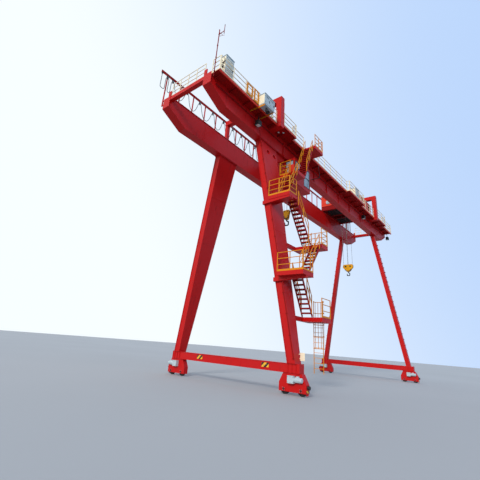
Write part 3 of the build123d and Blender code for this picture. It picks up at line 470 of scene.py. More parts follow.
def mesh_object(name, bm, material, smooth=False):
    """Turns a finished mesh into an object, its faces outwards."""
    bmesh.ops.recalc_face_normals(bm, faces=bm.faces)
    mesh = bpy.data.meshes.new(name)
    bm.to_mesh(mesh)
    bm.free()
    mesh.materials.append(material)
    if smooth:
        mesh.shade_smooth()
    return into_scene(name, mesh)


def piece(name, bm, material, body="gantry", smooth=False):
    """Finishes a mesh into a piece that rides on a body."""
    obj = mesh_object(name, bm, material, smooth)
    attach(obj, body)


# geometry node trees for what repeats
def open_tree(name, sizes):
    """Empty geometry tree with named inputs for its sizes and its material."""
    tree = bpy.data.node_groups.new(name, "GeometryNodeTree")
    tree.interface.new_socket("Geometry", in_out="INPUT", socket_type="NodeSocketGeometry")
    for label, kind in (*sizes, ("Material", "Material")):
        tree.interface.new_socket(label, in_out="INPUT", socket_type="NodeSocket" + kind)
    tree.interface.new_socket("Geometry", in_out="OUTPUT", socket_type="NodeSocketGeometry")
    return tree, put(tree, "NodeGroupInput").outputs


def close_tree(tree, given, shape, turn=(0, 0, 0)):
    """Stands the shape on every point, realizes the instances, sets their material and ends the tree."""
    many = put(tree, "GeometryNodeInstanceOnPoints",
               {"Points": given["Geometry"], "Instance": shape, "Rotation": turn})
    real = put(tree, "GeometryNodeRealizeInstances", {0: many})
    done = put(tree, "GeometryNodeSetMaterial", {0: real, "Material": given["Material"]})
    put(tree, "NodeGroupOutput", {0: done})
    return tree


def bolt_tree():
    """Hexagon heads on points, standing along each point's own direction."""
    tree, given = open_tree("bolt_heads", (("Head width", "Float"), ("Head height", "Float")))
    half = put(tree, "ShaderNodeMath", {0: given["Head width"], 1: 0.5}, operation="MULTIPLY")
    head = put(tree, "GeometryNodeMeshCylinder",
               {"Vertices": 6, "Radius": half, "Depth": given["Head height"]})
    out = put(tree, "GeometryNodeInputNamedAttribute", {"Name": "out"}, data_type="FLOAT_VECTOR")
    turn = put(tree, "FunctionNodeAlignRotationToVector", {"Vector": out}, axis="Z")
    return close_tree(tree, given, head, turn)


def bar_tree():
    """Blocks of one size on points."""
    tree, given = open_tree("bars", (("Size", "Vector"),))
    return close_tree(tree, given, put(tree, "GeometryNodeMeshCube", {"Size": given["Size"]}))


def ring_tree():
    """Round turns about the X axis on points, as rope lies on a drum."""
    tree, given = open_tree("rope_turns", (("Turn radius", "Float"), ("Rope radius", "Float")))
    path, section = [
        put(tree, "GeometryNodeCurvePrimitiveCircle", {"Resolution": sides, "Radius": given[radius]})
        for sides, radius in ((32, "Turn radius"), (6, "Rope radius"))]
    turn = put(tree, "GeometryNodeCurveToMesh", {0: path, 1: section})
    return close_tree(tree, given, turn, (0, pi / 2, 0))


BOLTS = bolt_tree()
BARS = bar_tree()
TURNS = ring_tree()


def repeat(name, tree, places, material, body="gantry", out=None, **values):
    """Runs a tree over places and keeps the result as a plain mesh piece."""
    mesh = bpy.data.meshes.new(name)
    mesh.from_pydata([tuple(at(*p)) for p in places], [], [])
    if out is not None:
        along = mesh.attributes.new("out", "FLOAT_VECTOR", "POINT")
        along.data.foreach_set("vector", [c for direction in out for c in direction])
    obj = into_scene(name, mesh)
    modifier = obj.modifiers.new("tree", "NODES")
    modifier.node_group = tree
    values["material"] = material
    for item in tree.interface.items_tree:
        label = item.name.lower().replace(" ", "_")
        if item.in_out == "INPUT" and label in values:
            modifier[item.identifier] = values[label]
    solid = bpy.data.meshes.new_from_object(obj.evaluated_get(bpy.context.evaluated_depsgraph_get()))
    obj.modifiers.clear()
    obj.data = solid
    solid.name = name
    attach(obj, body)


def bolt_up(name, bolts, material, wide, high, body="gantry"):
    """Bolt heads at pairs of place and direction."""
    places, out = zip(*bolts)
    repeat(name, BOLTS, places, material, body, out, head_width=wide, head_height=high)


# girders and legs
SPLICES = (-2.9, 5.6, 11.2, 17.3, 23.4)
LUG_Y = 2.09
STIFFENERS = (1.8, 6.9, 9.4, 12.1, 14.9, 18.0)
POST_HALF = 0.23            # half of a saddle's post along X
FASCIA_LOW = DECK_LOW - 0.11
FASCIA_RUNS = ((GIRDER_ENDS[0], SADDLES[0] - POST_HALF), (WIDE_RUNS[0][1], WIDE_RUNS[1][0]),
               (WIDE_RUNS[1][1], SADDLES[1] - POST_HALF), (WIDE_RUNS[2][1], DECK_END))
CONDUIT_Y = -WEB_OUT - 0.05


def dress_girders():
    """Weld beads at the splices, lifting lugs, fascia under the walkway's edge and ribs."""
    middle = (GIRDER_LOW + GIRDER_TOP) / 2
    webs = [(x, s * (HALF + t * WEB_HALF), middle) for x, s, t in product(SPLICES, SIDES, SIDES)]
    repeat("girder_web_welds", BARS, webs, RED, size=(0.035, 0.014, GIRDER_DEEP - 0.08))
    repeat("girder_flange_welds", BARS, [(x, s * HALF, GIRDER_LOW) for x, s in product(SPLICES, SIDES)], RED,
           size=(0.035, 2 * FLANGE_HALF - 0.02, 0.014))
    bm = bmesh.new()
    for splice, s in product(SPLICES, SIDES):
        x, y, z = splice + 0.7, s * LUG_Y, GIRDER_TOP + 0.1
        plate(bm, (x, y, GIRDER_TOP + 0.025), (0.2, 0.03, 0.05), 0.004)
        lathe(bm, (x, y - 0.015, z), (x, y + 0.015, z), ((0, 0.035), (0, 0.075), (1, 0.075), (1, 0.035)), 20,
              ring=True)
    piece("lifting_lugs", bm, RED)
    bm = bmesh.new()
    for a, b in FASCIA_RUNS:
        block(bm, (a, DECK_EDGE, FASCIA_LOW), (b, DECK_EDGE + 0.012, DECK_LOW), 0.003)
        block(bm, (a, DECK_EDGE + 0.012, FASCIA_LOW), (b, DECK_EDGE + 0.07, FASCIA_LOW + 0.01), 0.003)
    for a, b in WIDE_RUNS:
        # the first and the last run start behind a saddle's post
        first = a if a == WIDE_RUNS[1][0] else a + 2 * POST_HALF
        block(bm, (first, WIDE_EDGE, FASCIA_LOW), (b, WIDE_EDGE + 0.012, DECK_LOW), 0.003)
        block(bm, (b - 0.012, WIDE_EDGE, FASCIA_LOW), (b, DECK_EDGE, DECK_LOW), 0.003)
    # the fascia in the painted sunlit red, painted light along the walkway's edge
    piece("walkway_fascia", bm, SUNLIT_RED)
    bm = bmesh.new()
    low = GIRDER_LOW + 0.03
    for x in STIFFENERS:
        block(bm, (x - 0.01, -WEB_OUT - 0.09, low), (x + 0.01, -WEB_OUT, DECK_Z - 0.32), 0.003)
    block(bm, (1.72, -WEB_OUT - 0.14, low), (1.88, -WEB_OUT, low + 0.03), 0.004)
    for x, s in product((GIRDER_ENDS[0] + 0.02, GIRDER_ENDS[1] - 0.02), SIDES):
        plate(bm, (x, s * HALF, 17.125), (0.024, 0.36, 0.35), 0.004)
    piece("girder_ribs", bm, RED)


def dress_conduits():
    """Two conduits under the walkway with their straps, and the arm of a lamp."""
    bm = bmesh.new()
    for z in (16.84, 16.78):
        rod(bm, (-6.0, CONDUIT_Y, z), (26.4, CONDUIT_Y, z), 0.02)
    for x in spread(-5.7, 26.1, 24):
        block(bm, (x - 0.02, CONDUIT_Y - 0.028, 16.75), (x + 0.02, -WEB_OUT, 16.87), 0.004)
    # the conduits in the painted shade red
    piece("walkway_conduits", bm, PAINTED_SHADE_RED)
    bm = bmesh.new()
    block(bm, (6.38, -3.1, 15.835), (6.44, -OUTER, 15.875), 0.005)
    strut(bm, (6.41, -3.05, 15.85), (6.41, -2.95, 17.14), 0.03, 0.03)
    piece("lamp_arm", bm, CAST)


def dress_rails():
    """Clip plates and their bolts along both sides of the trolley rails."""
    along, z = spread(GIRDER_ENDS[0] + 0.3, GIRDER_ENDS[1] - 0.3, 55), GIRDER_TOP + 0.012
    spots = [(x, s * (RAIL_Y + t * 0.055), z) for x, s, t in product(along, SIDES, SIDES)]
    repeat("rail_clips", BARS, spots, RAIL_STEEL, size=(0.09, 0.05, 0.024))
    bolt_up("rail_clip_bolts", [((x, y, z + 0.022), UP) for x, y, z in spots], ZINC, 0.032, 0.02)


WELD_HEIGHTS = (5.1, 8.9, 12.4)
WELD = 0.032                # height of a weld bead round a leg
HAND_HOLES = (-0.22, 0.55)
SIGN_Z = 1.82
# middle, half sizes and the bolts' places of a near and a far leg's cap
LEG_CAPS = ((0, LEG_TOP_X / 2, LEG_HALF_Y, spread(-0.96, 0.96, 13), spread(-0.2, 0.2, 3)),
            (LEG_SPACING, FAR_LEG_HALF, FAR_LEG_HALF, spread(-0.2, 0.2, 4), spread(-0.15, 0.15, 3)))


def dress_legs():
    """Proud edges of the side plates, weld beads, cap bolts and the rims of the hand holes."""
    bm = bmesh.new()
    for s, face, t in product(SIDES, SIDES, SIDES):
        ends = [(face * (leg_x(z) + 0.012), s * leg_y(z) + t * (LEG_HALF_Y - 0.012), z)
                for z in (SILL_Z[1], LEG_TOP)]
        strut(bm, *ends, 0.05, 0.024)
    piece("leg_edge_plates", bm, RED)
    bm = bmesh.new()
    for z, s in product(WELD_HEIGHTS, SIDES):
        y, wide, far = s * leg_y(z), leg_x(z), 2 * FAR_LEG_HALF + 0.012
        for t in SIDES:
            plate(bm, (0, y + t * LEG_HALF_Y, z), (2 * wide - 0.02, 0.016, WELD), 0.004)
            plate(bm, (t * wide, y, z), (0.016, 2 * LEG_HALF_Y - 0.06, WELD), 0.004)
        plate(bm, (LEG_SPACING, y, z), (far, far, WELD), 0.004)
    piece("leg_weld_beads", bm, RED)
    spots = []
    for s, t in product(SIDES, SIDES):
        for middle, wide, deep, along, across in LEG_CAPS:
            spots += [(middle + x, s * HALF + t * (deep + 0.032), LEG_TOP) for x in along]
            spots += [(middle + t * (wide + 0.032), s * HALF + y, LEG_TOP) for y in across]
    # the downward cap bolts in the painted shade red
    bolt_up("leg_cap_bolts", [(spot, DOWN) for spot in spots], PAINTED_SHADE_RED, 0.045, 0.05)
    bm = bmesh.new()
    z = GIRDER_LOW - 0.78
    face = -leg_y(z) - LEG_HALF_Y
    for x in HAND_HOLES:
        lathe(bm, (x, face + 0.03, z - 0.005), (x, face - 0.012, z + 0.002),
              ((0, 0.163), (0, 0.195), (1, 0.19), (1, 0.163)), 28, ring=True)
    piece("hand_hole_rims", bm, RED)


def dress_near_leg():
    """The blank sign plate on its two arms, and the clamped cable pipe down one near leg."""
    bm = bmesh.new()
    face = -leg_y(SIGN_Z) - LEG_HALF_Y
    block(bm, (0.2, face - 0.33, SIGN_Z - 0.2), (0.23, face - 0.06, SIGN_Z + 0.2), 0.01)
    for z in (SIGN_Z - 0.12, SIGN_Z + 0.1):
        block(bm, (0.215, face - 0.1, z), (0.255, face + 0.02, z + 0.04), 0.004)
    piece("blank_sign_plate", bm, IVORY)
    bm = bmesh.new()
    down = [(-leg_x(z) - 0.035, -leg_y(z) - 0.19, z) for z in spread(15.2, 1.7, 13)]
    points = [(-1.62, -2.52, DECK_LOW), (-1.62, -2.52, 16.0), (-1.2, -2.3, 15.55)] + down
    for a, b in zip(points, points[1:]):
        rod(bm, a, b, 0.025)
    for point in points[1:-1]:
        collar(bm, point, 0.035, 0.02, 0.034, 0.25)
    for x, y, z in down:
        plate(bm, (x + 0.004, y, z), (0.072, 0.12, 0.04), 0.004)
    # the cable pipe in the painted shade red
    piece("leg_cable_pipe", bm, PAINTED_SHADE_RED)


# sill beams and running gear
BOGIE_HALF = 0.165
WHEEL_Z = 0.25
MOTOR_Z = 0.725


def dress_sills():
    """End plates, ribs under the legs and the small striped plates on the sill beams."""
    bm = bmesh.new()
    end, (low, high) = BASE_HALF + 0.45, SILL_Z
    for x in LEGS_X:
        for s in SIDES:
            block(bm, (x - 0.235, s * end - 0.012, low), (x + 0.235, s * end + 0.012, high + 0.02), 0.004)
            for y, t in product((BASE_HALF - 0.24, BASE_HALF, BASE_HALF + 0.24), SIDES):
                plate(bm, (x + t * 0.225, s * y, (low + high) / 2), (0.036, 0.02, high - low - 0.02), 0.003)
        for z, t in product((low + 0.012, high - 0.012), SIDES):
            plate(bm, (x + t * 0.222, 0, z), (0.024, 2 * BASE_HALF - 0.6, 0.024), 0.003)
    piece("sill_plates", bm, RED)
    bm = bmesh.new()
    for x, y in product((-0.218, LEG_SPACING + 0.218), (-2.79, 2.3)):
        plate(bm, (x, y, 1.265), (0.012, 0.48, 0.23), 0.003)
    for x, s in product(LEGS_X, SIDES):
        y = s * (BASE_HALF + 0.8)
        plate(bm, (x, y, 0.245), (0.3, 0.012, 0.11), 0.003)
        for t in SIDES:
            plate(bm, (x + t * BOGIE_HALF, y - s * 0.42, 0.73), (0.012, 0.22, 0.22), 0.003)
    piece("striped_plates", bm, STRIPES)


def dress_bogies():
    """Axle keepers, hub caps, rail sweeps, gearbox bolts and the motors' fins."""
    keepers, hubs, covers = bmesh.new(), bmesh.new(), bmesh.new()
    bolts, fins = [], []
    for x, s in product(LEGS_X, SIDES):
        middle = s * BASE_HALF
        for t, face in product(SIDES, SIDES):
            y, side = middle + t * 0.5, x + face * BOGIE_HALF
            cap, hub = side + face * 0.02, side + face * 0.045
            cover(keepers, (side, y, WHEEL_Z), (cap, y, WHEEL_Z), 0.11, 0.1, 0.6)
            bolts += [((side + face * 0.03, y + 0.083 * cos(a), WHEEL_Z + 0.083 * sin(a)), (face, 0, 0))
                      for a in angles(4, pi / 4)]
            lathe(hubs, (cap, y, WHEEL_Z), (hub, y, WHEEL_Z), ((0, 0.055), (0.6, 0.05), (1, 0.03)))
        block(keepers, (x - 0.09, middle + s * 0.76, 0.06), (x + 0.09, middle + s * 0.79, 0.3), 0.006)
        gearbox = x - BOGIE_HALF - 0.228
        bolts += [((gearbox, middle + dy, z), (-1, 0, 0)) for dy, z in product((-0.15, 0, 0.15), (0.6, 0.85))]
        motor_x, motor_y = x - 0.275, middle + s * 0.38
        fins += [(motor_x + 0.113 * cos(a), motor_y, MOTOR_Z + 0.113 * sin(a)) for a in angles(12)]
        near, far = middle + s * 0.57, middle + s * 0.64
        cover(covers, (motor_x, near, MOTOR_Z), (motor_x, far, MOTOR_Z), 0.118, 0.1)
        plate(covers, (motor_x, motor_y, 0.86), (0.11, 0.14, 0.08), 0.012)
    piece("bogie_keepers", keepers, RED)
    piece("bogie_hub_caps", hubs, CAST)
    piece("travel_motor_covers", covers, GREY)
    bolt_up("bogie_bolts", bolts, ZINC, 0.03, 0.018)
    repeat("travel_motor_fins", BARS, fins, GREY, size=(0.014, 0.3, 0.014))


# walkway fittings
# each cabinet: its X range, front, foot, top, the backs of its hood and of its side panel, and its doors
Cabinet = namedtuple("Cabinet", "x0 x1 front foot top hood_back side_back doors")
TALL = Cabinet(-5.75, -5.0, -2.72, DECK_Z, 19.13, -OUTER, -OUTER - 0.03, 1)
HUNG = Cabinet(-2.5, -1.33, -3.48, DECK_LOW, 18.1, -2.96, -3.01, 2)
DISTANT = Cabinet(15.3, 16.3, -2.92, DECK_Z, 18.78, -OUTER, -OUTER - 0.03, 2)
# X and Z range of each gate frame
GATES = ((-3.9, -3.22, 17.35, 18.22), (-3.1, -2.54, 17.3, 18.32))
GATE_POST = 0.14
DECK_LAMPS = ((0.7, -2.52), (0.92, -2.8))
# place along the girder and top of each floodlight
FLOODLIGHTS = ((-1.8, 16.61), (18.5, 16.73), (27.15, 16.73))
MAST_CLAMPS = (17.3, 18.0, 18.4, 19.4, 20.33)


def dress_cabinets():
    """Doors, louvres, hoods, handles, lamps and brackets of the three cabinets."""
    panels, ivory, dark, ochre = bmesh.new(), bmesh.new(), bmesh.new(), bmesh.new()
    for box in (TALL, HUNG, DISTANT):
        wide, middle = (box.x1 - box.x0 - 0.08) / box.doors, (box.foot + box.top) / 2
        for i in range(box.doors):
            left = box.x0 + 0.05 + i * wide
            right = left + wide
            block(panels, (left, box.front - 0.014, box.foot + 0.08),
                  (right - 0.02, box.front, box.top - 0.08), 0.006)
            block(dark, (right - 0.12, box.front - 0.035, middle - 0.09),
                  (right - 0.08, box.front - 0.012, middle + 0.09), 0.006)
            for z in (box.foot + 0.2, box.top - 0.2):
                hinge = left + 0.015, box.front - 0.02
                rod(dark, (*hinge, z - 0.04), (*hinge, z + 0.04), 0.012, 8)
        block(panels, (box.x0 - 0.025, box.front - 0.035, box.top),
              (box.x1 + 0.025, box.hood_back, box.top + 0.03), 0.008)
        # ivory panel on each cabinet's −X side: painted sunlight, a lit copy of the cabinets' grey paint
        block(ivory, (box.x0 - 0.012, box.front + 0.03, box.foot + 0.06),
              (box.x0, box.side_back, box.top - 0.06), 0.005)
    repeat("cabinet_louvres", BARS, [(-5.375, TALL.front - 0.018, z) for z in spread(17.52, 18.9, 10)], IVORY,
           size=(0.6, 0.02, 0.035))
    repeat("cabinet_vents", BARS,
           [(x, HUNG.front - 0.018, z) for x, z in product((-2.2, -1.63), spread(17.85, 17.97, 4))], GREY,
           size=(0.3, 0.02, 0.012))
    # the tall cabinet's side louvres in ivory too: painted sunlight on its −X side
    repeat("cabinet_side_louvres", BARS, [(TALL.x0 - 0.018, -2.5, z) for z in spread(17.5, 18.1, 6)], IVORY,
           size=(0.02, 0.3, 0.03))
    side, lamp, horn = TALL.x0 - 0.012, (-2.57, 18.62), (-2.55, 18.25)
    lathe(dark, (side, *lamp), (-5.86, *lamp), ((0, 0.09), (0.2, 0.13), (0.9, 0.14), (1, 0.125)), 24)
    lathe(ivory, (-5.86, *lamp), (-5.875, *lamp), ((0, 0.12), (0.6, 0.118), (1, 0.1)), 24)
    lathe(dark, (side, *horn), (-5.83, -2.55, 18.2), ((0, 0.05), (0.3, 0.07), (1, 0.1)), 18)
    back = -WEB_OUT - 0.02
    for x in (-2.46, -1.4):
        block(ochre, (x - 0.03, -3.46, DECK_LOW - 0.06), (x + 0.03, back, DECK_LOW - 0.003), 0.005)
        block(ochre, (x - 0.03, -3.46, DECK_LOW - 0.14), (x - 0.022, back, DECK_LOW - 0.06), 0.002)
    for x, stem in ((-2.05, 0.12), (-1.3, 0.14)):
        rod(dark, (x, -3.3, DECK_LOW), (x, -3.3, DECK_LOW - stem), 0.02)
    lathe(dark, (-2.05, -3.3, DECK_LOW - 0.1), (-2.02, -3.42, DECK_LOW - 0.42),
          ((0, 0.06), (0.25, 0.11), (0.7, 0.12), (1, 0.15)), 20)
    lathe(ivory, (-1.3, -3.3, DECK_LOW - 0.1), (-1.3, -3.3, DECK_LOW - 0.32),
          ((0, 0.05), (0.3, 0.1), (0.8, 0.11), (1, 0.07)), 20)
    piece("cabinet_doors", panels, GREY)
    piece("cabinet_ivory_panels", ivory, IVORY)
    piece("cabinet_handles_and_lamps", dark, CAST)
    piece("cabinet_brackets", ochre, OCHRE)


def dress_walkway():
    """Ochre gate frames beside the cabinet, deck lamps and the joints of the deck plates."""
    bm = bmesh.new()
    for x0, x1, z0, z1 in GATES:
        a, b = x0 + GATE_POST, x1 - GATE_POST
        for left, right, low, high in ((x0, a, z0, z1), (b, x1, z0, z1), (a, b, z1 - 0.08, z1),
                                       (a, b, z0, z0 + GATE_POST)):
            block(bm, (left, DECK_EDGE - 0.045, low), (right, DECK_EDGE, high), 0.006)
    piece("gate_frames", bm, OCHRE)
    bm = bmesh.new()
    for x, y in DECK_LAMPS:
        lathe(bm, (x, y, DECK_LOW + 0.002), (x, y, DECK_LOW - 0.07),
              ((0, 0.08), (0.4, 0.08), (0.8, 0.06), (1, 0.02)), 24)
    piece("deck_lamps", bm, LENS, smooth=True)
    joints = [(x, (DECK_EDGE - WEB_OUT) / 2, DECK_Z) for x in spread(-5.2, 26.2, 27)]
    repeat("deck_joint_strips", BARS, joints, RED_DECK, size=(0.03, 0.66, 0.008))


def dress_floodlights():
    """Yokes, cooling fins, rims and glass of the three floodlights."""
    body, glass, fins = bmesh.new(), bmesh.new(), []
    y = -WEB_OUT - 0.27
    for x, top in FLOODLIGHTS:
        low = top - 0.32
        for t in SIDES:
            plate(body, (x + t * 0.185, y, top - 0.08), (0.02, 0.06, 0.28), 0.004)
        plate(body, (x, y, top + 0.06), (0.39, 0.06, 0.02), 0.004)
        plate(body, (x, y, low + 0.0025), (0.37, 0.35, 0.035), 0.006)
        plate(glass, (x, y, low - 0.021), (0.28, 0.26, 0.018), 0.004)
        fins += [(x + dx, y, top + 0.015) for dx in spread(-0.15, 0.15, 9)]
    piece("floodlight_housings", body, CAST)
    piece("floodlight_glass", glass, LENS)
    repeat("floodlight_fins", BARS, fins, CAST, size=(0.008, 0.28, 0.05))


def dress_mast():
    """Clamps, cap and aerial arms of the mast, and the collars of its aerial."""
    bm = bmesh.new()
    x, y = GIRDER_ENDS[0] - 0.03, -OUTER - 0.25
    for z in MAST_CLAMPS:
        collar(bm, (x, y, z), 0.04, 0.03, 0.045, 0.15, 14)
    lathe(bm, (x, y, 20.7), (x, y, 20.78), ((0, 0.03), (0.4, 0.042), (1, 0.012)), 14)
    rod(bm, (x + 0.02, y, 20.52), (x + 0.16, y - 0.16, 20.38), 0.012, 8)
    rod(bm, (x + 0.02, y, 20.2), (x + 0.1, y - 0.42, 20.1), 0.01, 8)
    # the mast's clamps in the painted shade red
    piece("mast_clamps", bm, PAINTED_SHADE_RED)
    bm = bmesh.new()
    for z in (20.45, 20.85):
        collar(bm, (x, y - 0.45, z), 0.03, 0.02, 0.032, 0.3)
    piece("aerial_collars", bm, ZINC)


def dress_festoon():
    """Running wheels of the cable carriers, cable clamps, glands and the beam's splice plates."""
    wheels, steel, y = bmesh.new(), bmesh.new(), FESTOON_Y
    wheel_z = FESTOON_Z + 0.036
    for x in NEAR_CARRIERS + FAR_CARRIERS:
        for dx, t in product((-0.055, 0.055), SIDES):
            cover(wheels, (x + dx, y + t * 0.014, wheel_z), (x + dx, y + t * 0.046, wheel_z), 0.022, 0.018,
                  0.5, 12)
        for t in SIDES:
            plate(steel, (x, y + t * 0.044, CABLE_TOP + 0.025), (0.04, 0.01, 0.11), 0.002)
    for x in NEAR_BOXES + FAR_BOXES:
        lathe(steel, (x, y, CABLE_TOP + 0.01), (x, y, CABLE_TOP - 0.06),
              ((0, 0.036), (0.5, 0.036), (0.6, 0.03), (1, 0.026)), 12)
    for x, t in product(spread(-5.0, 24.5, 6), SIDES):
        plate(steel, (x, y + t * 0.007, FESTOON_Z + 0.075), (0.24, 0.012, 0.09), 0.002)
    piece("carrier_wheels", wheels, CAST, smooth=True)
    piece("carrier_clamps", steel, ZINC)


# stairs and cab
# start, end and Y range of each flight, and its number of treads
FLIGHTS = (((3.8, 17.28), (2.39, 13.91), (-3.83, -3.17), 13),
           ((1.44, 13.91), (0.0, 11.15), (-3.83, -3.17), 11),
           ((0.0, 11.15), (2.0, 8.47), (-4.46, -3.86), 11),
           ((2.0, 8.47), (0.18, 6.18), (-5.19, -4.6), 8),
           ((0.18, 6.18), (1.5, 3.95), (-4.8, -4.15), 8))
# X range, outer edge and height of each landing
LANDINGS = ((-0.9, 0.0, -4.55, 11.15), (2.0, 2.88, -5.22, 8.47), (-1.0, 0.18, -5.55, 6.18),
            (1.5, 2.65, -5.4, 3.95))
TOP_LANDING_ENDS = (3.793, 5.145)


def part_way(start, end, share):
    """X and Z of the point that lies a share of the way up or down a flight."""
    return start[0] + (end[0] - start[0]) * share, start[1] + (end[1] - start[1]) * share


def dress_stairs():
    """Folded lips on the treads, caps on the stringers and the inner rails of the flights."""
    lips, bm = {}, bmesh.new()
    for start, end, lane, count in FLIGHTS:
        wide = round(lane[1] - lane[0] - 0.03, 3)
        for i in range(count):
            x, z = part_way(start, end, (i + 1) / (count + 1))
            lips.setdefault(wide, []).extend((x + t * 0.1, sum(lane) / 2, z - 0.04) for t in SIDES)
        for y in lane:
            strut(bm, (start[0], y, start[1] - 0.02), (end[0], y, end[1] + 0.06), 0.035, 0.03)
    for wide, places in lips.items():
        # the tread lips in the painted shade red
        repeat("tread_lips_" + str(int(wide * 1000)), BARS, places, PAINTED_SHADE_RED, size=(0.02, wide, 0.075))
    piece("stringer_caps", bm, RED)
    dress_landings()
    bm = bmesh.new()
    for start, end, (_, inner), _ in FLIGHTS:
        posts, y = [part_way(start, end, k) for k in spread(0.08, 0.92, 5)], inner + 0.02
        for x, z in posts:
            plate(bm, (x, y, z + 0.455), (0.036, 0.036, 1.01), 0.004)
        (x0, z0), (x1, z1) = posts[0], posts[-1]
        for up in (0.5, 0.95):
            rod(bm, (x0, y, z0 + up), (x1, y, z1 + up), 0.02)
    piece("stair_inner_rails", bm, OCHRE)


def dress_landings():
    """Folded edges and toe plates of the landings, and the trims at both ends of the top one."""
    bm, toes = bmesh.new(), bmesh.new()
    for x0, x1, edge, z in LANDINGS:
        block(bm, (x0, edge - 0.008, z - 0.25), (x1, edge + 0.004, z - 0.225), 0.003)
        block(bm, (x0, edge - 0.008, z - 0.02), (x1, edge + 0.004, z + 0.01), 0.003)
        block(toes, (x0 + 0.05, edge + 0.006, z), (x1 - 0.05, edge + 0.014, z + 0.1), 0.002)
    x0, _, edge, z = LANDINGS[0]
    block(bm, (x0 + 0.28, edge - 0.02, z - 0.42), (x0 + 0.36, edge, z - 0.2), 0.004)
    for x in TOP_LANDING_ENDS:
        block(bm, (x, -3.98, 17.04), (x + 0.012, -2.98, 17.3), 0.003)
    piece("landing_trims", bm, RED)
    piece("landing_toe_plates", toes, OCHRE)


CAB_X, CAB_Y, CAB_Z = (2.39, 4.85), (-2.95, -1.45), (13.67, 15.75)
# seat, its back and the two desks, from the cab's lowest corner, and how far their edges are eased
CAB_FURNITURE = (((1.1, 0.45, 0.45), (1.6, 0.95, 0.58), 0.04), ((1.02, 0.45, 0.55), (1.15, 0.95, 1.25), 0.04),
                 ((1.3, 0.12, 0.05), (1.8, 0.34, 0.78), 0.02), ((1.3, 1.0, 0.05), (1.8, 1.22, 0.78), 0.02))


def dress_cab():
    """Window gaskets, mullions, wipers, door, roof flashing, seat and desks of the operator's cab."""
    (x0, x1), (y0, y1), (z0, z1) = CAB_X, CAB_Y, CAB_Z
    split, side = x0 + (x1 - x0) * 0.6, 0.12
    sill, low, head = z0 + 0.85, z0 + 0.35, z1 - 0.18
    gasket, trim, inside = bmesh.new(), bmesh.new(), bmesh.new()
    # the axis that each pane faces, its sides, the wall that it is in, its foot and its head
    panes = (("y", split, x1 - side, y0, low, head), ("y", x0 + side, split - side, y0, sill, head),
             ("y", x0 + side, x1 - side, y1, sill, head), ("x", y0 + side, y1 - side, x1, low, head),
             ("x", y0 + side, (y0 + y1) / 2, x0, sill, head))
    for facing, left, right, wall, foot, top in panes:
        middle = (foot + top) / 2
        for a, b, c, d in ((left - 0.03, left + 0.01, foot - 0.03, top + 0.03),
                           (right - 0.01, right + 0.03, foot - 0.03, top + 0.03),
                           (left, right, foot - 0.03, foot + 0.01), (left, right, top - 0.01, top + 0.03),
                           (left, right, middle - 0.018, middle + 0.018)):
            if facing == "y":
                block(gasket, (a, wall - 0.012, c), (b, wall + 0.012, d), 0.004)
            else:
                block(gasket, (wall - 0.012, a, c), (wall + 0.012, b, d), 0.004)
    strut(gasket, (x1 - 0.5, y0 - 0.02, low + 0.04), (x1 - 0.25, y0 - 0.02, low + 0.75), 0.012, 0.012)
    strut(gasket, (x1 + 0.02, y0 + 0.4, low + 0.04), (x1 + 0.02, y0 + 0.75, low + 0.8), 0.012, 0.012)
    for z in (z0 + 0.01, z1 - 0.05):
        for x in CAB_X:
            block(trim, (x - 0.02, y0 - 0.02, z), (x + 0.02, y1 + 0.02, z + 0.04), 0.006)
        for y in CAB_Y:
            block(trim, (x0 + 0.02, y - 0.02, z), (x1 - 0.02, y + 0.02, z + 0.04), 0.006)
    door = (y0 + y1) / 2 + 0.06
    block(trim, (x0 - 0.018, door, z0 + 0.26), (x0, y1 - 0.06, z1 - 0.1), 0.006)
    block(trim, (x0 - 0.03, y0 + 0.1, z0 + 0.35), (x0, y0 + 0.5, z0 + 0.75), 0.01)
    for x, dy in product((x0 + 0.2, x1 - 0.2), (-0.2, 0.2)):
        plate(trim, (x, -HALF + dy, z1 + 0.03), (0.18, 0.04, 0.06), 0.006)
    rod(gasket, (x0 - 0.05, door + 0.08, z0 + 0.95), (x0 - 0.05, door + 0.08, z0 + 1.25), 0.014)
    corner = Vector((x0, y0, z0))
    for lo, hi, soft in CAB_FURNITURE:
        block(inside, corner + Vector(lo), corner + Vector(hi), soft)
    lathe(inside, (x0 + 1.35, y0 + 0.7, z0 + 0.05), (x0 + 1.35, y0 + 0.7, z0 + 0.46),
          ((0, 0.22), (0.08, 0.2), (0.15, 0.06), (1, 0.06)), 20)
    piece("cab_gaskets", gasket, GASKET)
    piece("cab_trims", trim, RED)
    piece("cab_seat_and_desks", inside, CAST)
    # an orange-red box on the cab's −X wall in the painted sunlit red: it paints a patch of sunlight on the
    # wall
    bm = bmesh.new()
    block(bm, (x0 - 0.19, y0 - 0.05, z0 + 0.8), (x0 + 0.005, y0 + 0.4, z0 + 1.43), 0.02)
    piece("extinguisher_case", bm, SUNLIT_RED)


# trolleys
# x and drum_z are the drum's middle; inner, centre and outer are the falls' distances from Y = 0
# sheave and rope are radii, drum_half is half the drum's length, and deck is the trolley deck's height
# pin is the height of the sheaves' pin, drop the block's depth below it, and hook the hook's size
Hoist = namedtuple("Hoist", "x drum_z inner centre outer sheave rope drum_half pin drop hook deck")
HOISTS = {"main": Hoist(x=19.6, drum_z=18.5, inner=0.02, centre=0.2643, outer=0.5086, sheave=0.23, rope=0.014,
                        drum_half=0.75, pin=11.37, drop=0.6, hook=0.205, deck=18.15),
          "aux": Hoist(x=6.2, drum_z=18.21, inner=0.015, centre=0.1443, outer=0.2736, sheave=0.12, rope=0.009,
                       drum_half=0.45, pin=13.24, drop=0.74, hook=0.25, deck=17.97)}
HOUSE_X, HOUSE_Y, HOUSE_TOP = (17.0, 22.2), (-2.2, 1.85), 19.45
HOUSE_RIBS = (18.2, 19.4)
HATCHES = (17.46, 18.38)
AUX_RAIL_X, AUX_RAIL_Y = (5.02, 7.38), (-1.62, 1.62)


